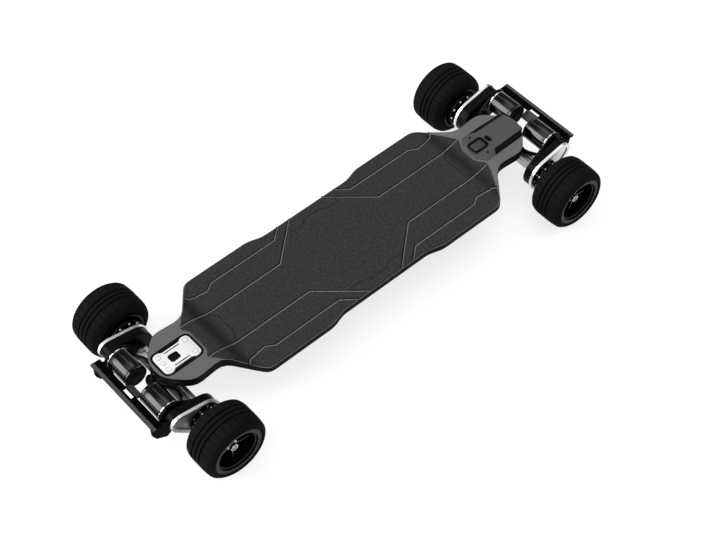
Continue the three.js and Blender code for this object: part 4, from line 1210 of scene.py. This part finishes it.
def rotor_profile():
    """Corners (y, radius, reach) from the bell's boss out over the can, in again, and along the
    shaft to the pinion."""
    rim, seat = motor_radius - bell_drop, motor_radius - bell_groove * groove_share
    notches, bell = rotor_from + notch_start, rotor_from + bell_length
    can, can_to = rotor_from + bell_length + bell_groove, rotor_from + can_length
    inner, pinion_from = motor_radius - can_wall, pinion_to - pinion_width
    return eased([
        (rotor_from, 0, 0), (rotor_from, boss_radius, soft), (rotor_from + dish_sunk, dish_inner, soft),
        (rotor_from + dish_sunk, dish_outer, soft), (rotor_from, inner, easy),
        (notches, motor_radius - slight, slight), (notches + notch_ease, rim, 0),
        (notches + notch_ease * 2, rim, 0), (rotor_from + notch_end, rim, 0),
        (rotor_from + notch_end + notch_ease * 2, rim, 0), (bell, rim, hairline), (bell, seat, hairline),
        (can, seat, hairline), (can, motor_radius, slight), (can_to, motor_radius, can_round),
        (can_to, inner, fine), (bell, inner, soft), (bell, shaft_radius, fine),
        (pinion_from, shaft_radius, 0), (pinion_from, pinion_radius, slight),
        (pinion_to, pinion_radius, slight), (pinion_to, 0, 0),
    ], 3)


def make_rotor(wheel):
    """The can with its bell, whose end face is matt."""
    profile = rotor_profile()
    points = turned(profile, motor_x, motor_z, notch_count * 8, notched)
    tone = np.where(profile[1:, 0] < rotor_from + bell_face_depth, 1, 0)
    return at_wheel("motor_can", wheel, [grid(points, tone=tone)], ["motor_black", "bell_black"],
                    "rotor", "motor_rotor")


print(notch_count, "notches round a bell of", round(motor_radius * 2, 4))

# %% [markdown]
# The ring at the motor's base carries the windings on a core inside the can, which only shows
# through the gap. Its rim has ten dark slots that let the air out.

# %% Motor rings
stator_low, stator_high = corners_of("motor_stator_tail_right")
ring_slots, slot_share, slot_depth = 10, 0.3, 2.4 * mm
slot_rim, slot_length = 3 * mm, 5 * mm
ring_flange, core_gap = 4 * mm, 8.3 * mm
ring_radius, core_radius, tube_radius = 26.5 * mm, 23.8 * mm, 7 * mm


def slotted(y, radius, turn):
    """Shallow dark slots round the ring: the radius drops over the first share of each pitch."""
    share = (turn * ring_slots / (2 * math.pi)) % 1
    on_ring = (radius > motor_radius - slot_rim) & (y > stator_high[1] - slot_length)
    return radius - slot_depth * on_ring * (share < slot_share)


def make_stator(wheel):
    """The core, a thin tube and the ring, on one bore."""
    bore = shaft_radius + fit_gap
    core_from, stop = stator_low[1], stator_high[1]
    face = stop - ring_flange
    core_to = face - core_gap
    profile = eased([
        (core_from, bore, 0), (core_from, core_radius, full), (core_to, core_radius, full),
        (core_to, tube_radius, fine), (face, tube_radius, fine), (face, ring_radius, rounded),
        (stop, ring_radius, rounded), (stop, bore, 0),
    ])
    points = turned(profile, motor_x, motor_z, ring_slots * 20, slotted)
    return at_wheel("motor_ring", wheel, [grid(points, loop_rows=True)], ["bright_metal"],
                    "truck", "motor_stator")


for wheel in wheels:
    make_rotor(wheel)
    make_stator(wheel)
print("motor", round(motor_radius * 2, 4), "at", round(motor_x, 3), round(motor_z, 3))

# %% [markdown]
# The tyre is one turned profile: bead, side, round shoulder and a tread with three grooves that
# leave two narrow ribs. Fine sipes cross the wide outer bands. A relief in the finish could draw
# them, but they would vanish at the tyre's outline. So the radius is lowered at two close angles in
# every pitch, and the angles of the grid are crowded there and wide apart between.

# %% Tyres
tyre_bore, tyre_side = 52 * mm, 61 * mm
shoulder_width, inner_rounding, ring_seat = 20 * mm, 7 * mm, 7 * mm
shoulder_drop, shoulder_round = 0.5 * mm, 6 * mm
tread_groove_depth, tread_groove_spacing = 4.2 * mm, 11.5 * mm
groove_top_half, groove_floor_half = 2.2 * mm, 1.2 * mm
face_ring_radius = 60 * mm
bead_depth, bead_lip, bead_round = 0.8 * mm, 1.4 * mm, 0.9 * mm
wall_depth, wall_height, wall_round = 6 * mm, 10.6 * mm, 6.5 * mm
sipe_count, sipe_depth = 28, 1.8 * mm
sipe_shares = np.array([0, 0.02, 0.07, 0.09, 0.25, 0.42, 0.6, 0.8])
cut_shares = np.array([0, 1, 1, 0, 0, 0, 0, 0])
sipe_from, sipe_to, sipe_edge_drop = 15.5 * mm, 39 * mm, 3.1 * mm
band_step, band_drop = 0.3 * mm, 0.1 * mm
# The inboard side, as places further out from its back and drops from the tyre's sizes.
heel_out, heel_height, heel_round = 0.8 * mm, 3.2 * mm, 1.5 * mm
side_out, side_drop, side_round = 1 * mm, 2 * mm, 4 * mm
hip_in, hip_drop, hip_round = 5 * mm, 7 * mm, 5.5 * mm
crown_in, crown_drop, crown_shift = 9 * mm, 3.4 * mm, 3 * mm


def tread_corners():
    """The tread from one edge to the other, with a flat-bottomed groove at each place."""
    rows = []
    floor = tyre_radius - tread_groove_depth
    for place in (tread_groove_spacing, 0, -tread_groove_spacing):
        rows += [
            (place + groove_top_half, tyre_radius, slight), (place + groove_floor_half, floor, fine),
            (place - groove_floor_half, floor, fine), (place - groove_top_half, tyre_radius, slight),
        ]
    return rows


def tyre_profile():
    """Corners (y from the wheel's middle, radius, reach) of the tyre's closed section. The outer
    bead is cut back for the hub's face ring, and the inner bead reaches down to the rim."""
    half, edge = tyre_half, tyre_radius - shoulder_drop
    bead = face_ring_radius + fit_gap
    outer_bead = [
        (half - ring_seat, tyre_bore, soft), (half - ring_seat, bead, fine),
        (half - bead_depth, bead, fine), (half, bead + bead_lip, bead_round),
    ]
    band = [(sipe_from + band_step, tyre_radius - band_drop, 0), (sipe_from, tyre_radius, 0)]
    wall = [
        (half - wall_depth, tyre_side + wall_height, wall_round),
        (sipe_to, tyre_radius - sipe_edge_drop, 0), (half - shoulder_width, edge, shoulder_round),
    ]
    back = half - inner_rounding
    inner_side = [
        (back, tyre_bore, soft), (back + heel_out, tyre_bore + heel_height, heel_round),
        (back + side_out, tyre_side - side_drop, side_round),
        (back - hip_in, tyre_radius - hip_drop, hip_round), (back - crown_in, tyre_radius - crown_drop, 0),
        (half - shoulder_width - crown_shift, edge, shoulder_round),
    ]
    inner = [(-y, radius, reach) for y, radius, reach in reversed(inner_side + band)]
    return eased(outer_bead + wall + band + tread_corners() + inner, 5)


def siped(y, radius, turn):
    """Lowers the outer bands at the cut angles of every pitch."""
    pitch = 2 * math.pi / sipe_count
    share = (turn % pitch) / pitch
    cut = np.interp(share, np.append(sipe_shares, 1), np.append(cut_shares, 0))
    band = (np.abs(y) > sipe_from) & (np.abs(y) < sipe_to) & (radius > tyre_side)
    return radius - sipe_depth * cut * band


def make_tyre(wheel):
    """The profile turned about the axle, at angles that crowd where the sipes are cut."""
    pitch = 2 * math.pi / sipe_count
    angles = (np.arange(sipe_count)[:, None] * pitch + sipe_shares[None, :] * pitch).ravel()
    points = turned(tyre_profile(), axle_x, axle_z, radius_at=siped, angles=angles)
    points[..., 1] += wheel_y
    return at_wheel("tread", wheel, [grid(points, loop_rows=True)], ["tyre_rubber"],
                    "wheel", "tyre", sharp=28)


for wheel in wheels:
    made = make_tyre(wheel)
print(len(made.data.polygons), "faces in a tyre")

# %% [markdown]
# The hub is a deep black dish with a grey ring on its face. Its body is a turned profile. Each of
# its five spokes is a blade that narrows a little outwards, carried from the boss to the barrel,
# and a low pale rib along its outer edge is a painted highlight.

# %% Hubs
hub_radius, hub_half = 51.7 * mm, 44.5 * mm
hub_lip, hub_barrel, hub_boss = 49.5 * mm, 45.5 * mm, 14 * mm
hub_line, line_rim, line_shoulder, line_drop = 47 * mm, 0.9 * mm, 0.7 * mm, 4.2 * mm
hub_back, hub_drum, hub_rim = -44.7 * mm, 32 * mm, 45.7 * mm
drum_round, barrel_round, web_thickness = 2 * mm, 3 * mm, 5 * mm
face_step, face_edge = 5 * mm, 1 * mm
axle_radius = 6 * mm
web_y, boss_to, spoke_to = -4 * mm, 20 * mm, 22 * mm
spoke_count, spoke_half, spoke_fall, spoke_sunk = 5, 2.2 * mm, 2.5 * mm, 0.5 * mm
spoke_root, spoke_overrun, spoke_places, spoke_top_share = 1 * mm, 0.4 * mm, 7, 0.8
rib_half, rib_height = 0.9 * mm, 0.4 * mm
grey_corners = [(8, 11), (14, 16)]


def hub_profile(steps=5):
    """Corners (y from the wheel's middle, radius, reach), and which rows are grey: the face ring
    and, a step below it, a thin line round the dish."""
    bore = axle_radius + fit_gap
    web_back = web_y - web_thickness
    seat = tyre_half - ring_seat + fit_gap
    step, line = hub_half - face_step, hub_half - line_drop
    corners = [
        (hub_back, bore, 0), (hub_back, hub_drum, full), (web_back, hub_drum, drum_round),
        (web_back, hub_rim, drum_round), (-hub_half, hub_rim, rounded), (-hub_half, hub_radius, rounded),
        (seat, hub_radius, slight), (seat, face_ring_radius, slight),
        (hub_half - rounded, face_ring_radius, fine), (hub_half, face_ring_radius - face_edge, slight),
        (hub_half, hub_lip + face_edge, soft), (hub_half - rounded, hub_lip, slight),
        (step, hub_lip, slight), (step, hub_line + line_rim, hairline),
        (line, hub_line + line_shoulder, hairline), (line, hub_line, hairline),
        (step - face_edge, hub_barrel, easy), (web_y, hub_barrel, barrel_round),
        (web_y, hub_boss, drum_round), (boss_to, hub_boss, rounded), (boss_to, bore, 0),
    ]
    tones = np.zeros(len(corners) * (steps + 1), int)
    for first, last in grey_corners:
        tones[first * (steps + 1):last * (steps + 1)] = 1
    return eased(corners, steps), tones


def blade(angle, half, foot, top):
    """A blade from the boss to the barrel at one angle. Its section is a trapezium in the axle's
    direction, from foot to top, and foot and top are heights at even places along the radius."""
    reach = np.linspace(hub_boss - spoke_root, hub_barrel + spoke_overrun, spoke_places)[:, None]
    across = np.array([-half, -half * spoke_top_share, half * spoke_top_share, half])[None, :]
    share = np.array([0, 1, 1, 0])
    y = foot[:, None] + (top - foot)[:, None] * share
    x = reach * math.cos(angle) - across * math.sin(angle)
    z = reach * math.sin(angle) + across * math.cos(angle)
    return np.stack([axle_x + x, wheel_y + y, axle_z + z], -1)


def make_hub(wheel):
    """The turned body, and at each spoke a blade and its pale rib of painted highlight. The blades'
    outer edge falls towards the barrel as the square of the way along them."""
    profile, tones = hub_profile()
    points = turned(profile, axle_x, axle_z, 120)
    points[..., 1] += wheel_y
    grids = [grid(points, loop_rows=True, tone=tones)]
    angles = [-math.pi / 2 + number / spoke_count * 2 * math.pi for number in range(spoke_count)]
    top = spoke_to - spoke_fall * np.linspace(0, 1, spoke_places) ** 2
    foot = np.full(spoke_places, web_y - spoke_sunk)
    grids += [grid(blade(angle, spoke_half, foot, top), caps=True) for angle in angles]
    # The pale ribs are a painted highlight along the spokes' outer edges.
    ribs = [blade(angle, rib_half, top - rib_height, top + rib_height) for angle in angles]
    grids += [grid(rib, caps=True, tone=2) for rib in ribs]
    return at_wheel("spoked_hub", wheel, grids, ["hub_black", "hub_ring", "spoke_highlight_grey"],
                    "wheel", "hub")


print(len(hub_profile()[0]), "points in the hub's profile")

# %% [markdown]
# The nut on the axle is a hexagon whose corners are cut back by a cone at each end, and it sits on
# a round washer. It is one turned profile whose radius is held to the hexagon where the nut is.

# %% Nuts
nut_low, nut_high = corners_of("axle_nut_tail_right")
nut_extra, nut_reach, nut_bevel, bevel_share = 4 * mm, 9.5 * mm, 1.1 * mm, 0.6
washer_radius, washer_thickness = 12.3 * mm, 1.6 * mm
near_share = 1.01


def make_nut(wheel):
    """Washer, bevel, side, bevel and bore."""
    bore = axle_radius + fit_gap

    def hexagonal(y, radius, turn):
        on_nut = (radius > bore * near_share) & (radius < nut_reach * near_share)
        return np.where(on_nut, np.minimum(radius, hexagon(turn, nut_reach)), radius)

    start, stop = nut_low[1], nut_high[1] + nut_extra
    face, slope = start + washer_thickness, nut_bevel * bevel_share
    profile = np.array([
        (start, bore), (start, washer_radius), (face, washer_radius), (face, nut_reach - nut_bevel),
        (face + slope, nut_reach), (stop - slope, nut_reach), (stop, nut_reach - nut_bevel),
        (stop, bore + easy), (stop - easy, bore),
    ])
    points = turned(profile, axle_x, axle_z, 96, hexagonal)
    return at_wheel("wheel_nut", wheel, [grid(points, loop_rows=True)], ["steel"],
                    "truck", "axle_nut", sharp=20)


print("nuts end at", round(nut_high[1] + nut_extra, 4), "from the middle of the board")

# %% [markdown]
# The wheel pulley is a toothed rim, a sleeve and a black flange with ten bolts. On the round end of
# each cover plate a thin black disc is painted shadow of the gap to the tyre, and it carries its own
# ring of small screws. The heads in a ring are all alike, so each ring needs one turned profile,
# which a loop repeats round the axle.

# %% Pulleys and painted shadow discs
pulley_low, pulley_high = corners_of("wheel_pulley_tail_right")
pulley_teeth, tooth_depth, tooth_margin = 36, 1.5 * mm, 0.1 * mm
pulley_radius, sleeve_radius, sleeve_round, flange_radius = 28 * mm, 15 * mm, 1.5 * mm, 41 * mm
pulley_width, flange_width = 14 * mm, 8 * mm
flange_bolts, bolt_circle, flange_bolt_radius, flange_bolt_height = 10, 36.5 * mm, 2.6 * mm, 2.5 * mm
flange_bolt_round = 0.7 * mm
plate_outer = corners_of("cover_plate_tail_right")[1][1]
# The black disc on each cover plate is painted shadow of the gap to the tyre.
shadow_disc_inner, shadow_disc_outer, shadow_disc_thickness, shadow_disc_sunk = 17.5 * mm, 36.5 * mm, 1.2 * mm, 0.05 * mm
disc_screws, screw_circle, disc_screw_radius, disc_screw_height = 10, 32 * mm, 1.8 * mm, 1 * mm


def ring_of_heads(head, count, circle, steps, tone=0):
    """Grids of one head's profile, turned at even places on a circle round the axle."""
    grids = []
    for number in range(count):
        angle = number / count * 2 * math.pi
        x, z = axle_x + circle * math.cos(angle), axle_z + circle * math.sin(angle)
        grids.append(grid(turned(head, x, z, steps), tone=tone))
    return grids


def toothed(y, radius, turn):
    """Square teeth: the rim's radius drops where the wave is positive."""
    start = pulley_low[1]
    rim = (np.abs(radius - pulley_radius) < tooth_margin) & (y > start) & (y < start + pulley_width)
    return radius - tooth_depth * rim * (np.sin(turn * pulley_teeth) > 0)


def make_pulley(wheel):
    """Rim, sleeve and flange on one bore, and the flange's bolts."""
    bore = axle_radius + fit_gap
    start, stop = pulley_low[1], pulley_high[1]
    rim_to, flange = start + pulley_width, stop - flange_width
    profile = eased([
        (start, bore, 0), (start, pulley_radius, 0), (start + soft, pulley_radius, 0),
        (rim_to - soft, pulley_radius, 0), (rim_to, pulley_radius, 0), (rim_to, sleeve_radius, soft),
        (flange, sleeve_radius, sleeve_round), (flange, flange_radius, rounded),
        (stop, flange_radius, rounded), (stop, bore, 0),
    ], 3)
    dark = np.where(profile[:, 0] > flange - tooth_margin, 1, 0)
    points = turned(profile, axle_x, axle_z, pulley_teeth * 8, toothed)
    top, foot = flange - flange_bolt_height, flange + fit_gap
    head = eased([
        (top, 0, 0), (top, flange_bolt_radius, flange_bolt_round), (foot, flange_bolt_radius, 0),
        (foot, 0, 0),
    ], 3)
    grids = [grid(points, loop_rows=True, tone=dark), *ring_of_heads(head, flange_bolts, bolt_circle, 24)]
    return at_wheel("pulley", wheel, grids, ["bright_metal", "hub_black"],
                    "wheel", "wheel_pulley")


def make_cover_shadow_disc(wheel):
    """A flat black ring of painted shadow on the cover plate's face, with its small bright screws."""
    foot, top = plate_outer - shadow_disc_sunk, plate_outer + shadow_disc_thickness
    profile = eased([
        (foot, shadow_disc_inner, 0), (foot, shadow_disc_outer, 0), (top, shadow_disc_outer, soft), (top, shadow_disc_inner, fine),
    ], 3)
    screw_foot, screw_top = top - shadow_disc_sunk, top + disc_screw_height
    head = eased([
        (screw_foot, 0, 0), (screw_foot, disc_screw_radius, 0), (screw_top, disc_screw_radius, easy),
        (screw_top, 0, 0),
    ], 3)
    grids = [grid(turned(profile, axle_x, axle_z), loop_rows=True)]
    grids += ring_of_heads(head, disc_screws, screw_circle, 20, tone=1)
    return at_wheel("cover_shadow_disc", wheel, grids, ["guard_and_shadow_black", "steel"], "truck")


for wheel in wheels:
    made = make_hub(wheel)
    make_nut(wheel)
    make_pulley(wheel)
    make_cover_shadow_disc(wheel)
print(len(made.data.polygons), "faces in a hub")

# %% [markdown]
# A plain pale floor. Real white paper in a studio is lit until it burns out, and a floor that is
# only painted white would stay grey here. So it adds a little light of its own where the camera or
# a reflection sees it: it looks white, throws no extra light on the board, and keeps its shadow.

# %% Floor
floor_half = 14.0
floor_drop = 0.2 * mm
floor_color, floor_glow = 0.42, 0.74


def make_floor():
    """A flat square grid just under the wheels."""
    span = np.linspace(-floor_half, floor_half, 3)
    x, y = np.meshgrid(span, span, indexing="ij")
    part = grid(np.stack([x, y, np.full_like(x, -floor_drop)], -1), loop_columns=False)
    mesh = bpy.data.meshes.new("floor")
    mesh.from_pydata(part["points"].tolist(), [], part["faces"].tolist())
    white = finish("floor_white", color=floor_color, roughness=0.9, specular=0.0, uneven=0.0, wander=0.0)
    tree = white.node_tree
    path = add_node(tree, "LightPath").outputs
    seen = calc(tree, "MAXIMUM", path["Is Camera Ray"], path["Is Glossy Ray"])
    seen = calc(tree, "MAXIMUM", seen, path["Is Transmission Ray"])
    shader = tree.nodes["Principled BSDF"]
    shader.inputs["Emission Color"].default_value = (1, 1, 1, 1)
    tree.links.new(calc(tree, "MULTIPLY", seen, floor_glow), shader.inputs["Emission Strength"])
    mesh.materials.append(white)
    floor = bpy.data.objects.new("floor", mesh)
    bpy.context.scene.collection.objects.link(floor)
    return floor


print("floor", np.round(make_floor().dimensions, 1).tolist())

# %% [markdown]
# The light comes from soft boxes that hang far away, so they belong to the sky: a wide one
# overhead, one low beyond the nose that draws the broad band along the motors, and a narrow strip
# for their second line. Lamps near the board would do the same, but a box in the sky lights every
# piece alike. Between the boxes the sky is dim, which keeps the black parts black.

# %% Sky
sky_dim, sky_horizon, horizon_reach = 0.16, 0.3, 0.35

# Each soft box: the direction that it hangs in, the direction of its length, the half length and
# half width as sines of its reach, how soft its edge is, and its brightness.
soft_boxes = [
    ((0.0, -0.12, 0.99), (1, 0, 0), (0.55, 0.45), 0.16, 1.3),
    ((-0.761, 0.459, 0.457), (0, 1, 0), (0.17, 0.32), 0.05, 9.0),
    ((0.304, 0.459, 0.834), (0, 1, 0), (0.17, 0.03), 0.02, 3.0),
]


def component(tree, direction, axis):
    """How far a direction points along an axis."""
    return add_node(tree, "VectorMath", {0: direction, 1: axis}, operation="DOT_PRODUCT").outputs["Value"]


def soft_box(tree, direction, box):
    """The brightness of one box: the direction's components along its length and its width, each
    faded out past its half size, and cut off behind."""
    toward, lengthwise, halves, softness, brightness = box
    centre = Vector(toward).normalized()
    width = centre.cross(Vector(lengthwise)).normalized()
    total = calc(tree, "GREATER_THAN", component(tree, direction, centre), 0.0)
    for axis, half in zip((width.cross(centre), width), halves):
        reach = calc(tree, "ABSOLUTE", component(tree, direction, axis))
        fade = add_node(tree, "MapRange", {
            "Value": reach, "From Min": half, "From Max": half + softness, "To Min": 1.0, "To Max": 0.0,
        }, interpolation_type="SMOOTHSTEP")
        total = calc(tree, "MULTIPLY", total, fade.outputs[0])
    return calc(tree, "MULTIPLY", total, brightness)


def make_sky():
    """A dim sky, a little brighter at the horizon, with the soft boxes added to it."""
    world = bpy.data.worlds.new("studio")
    world.use_nodes = True
    tree = world.node_tree
    background = tree.nodes["Background"]
    direction = add_node(tree, "TexCoord").outputs["Generated"]
    up = add_node(tree, "SeparateXYZ", {"Vector": direction}).outputs["Z"]
    total = add_node(tree, "MapRange", {
        "Value": up, "From Min": 0.0, "From Max": horizon_reach, "To Min": sky_horizon, "To Max": sky_dim,
    }).outputs[0]
    for box in soft_boxes:
        total = calc(tree, "ADD", total, soft_box(tree, direction, box))
    tree.links.new(total, background.inputs["Strength"])
    background.inputs["Color"].default_value = (1, 1, 1, 1)
    bpy.context.scene.world = world


make_sky()
bpy.context.scene.view_settings.view_transform = "Standard"
print(len(soft_boxes), "soft boxes in the sky")
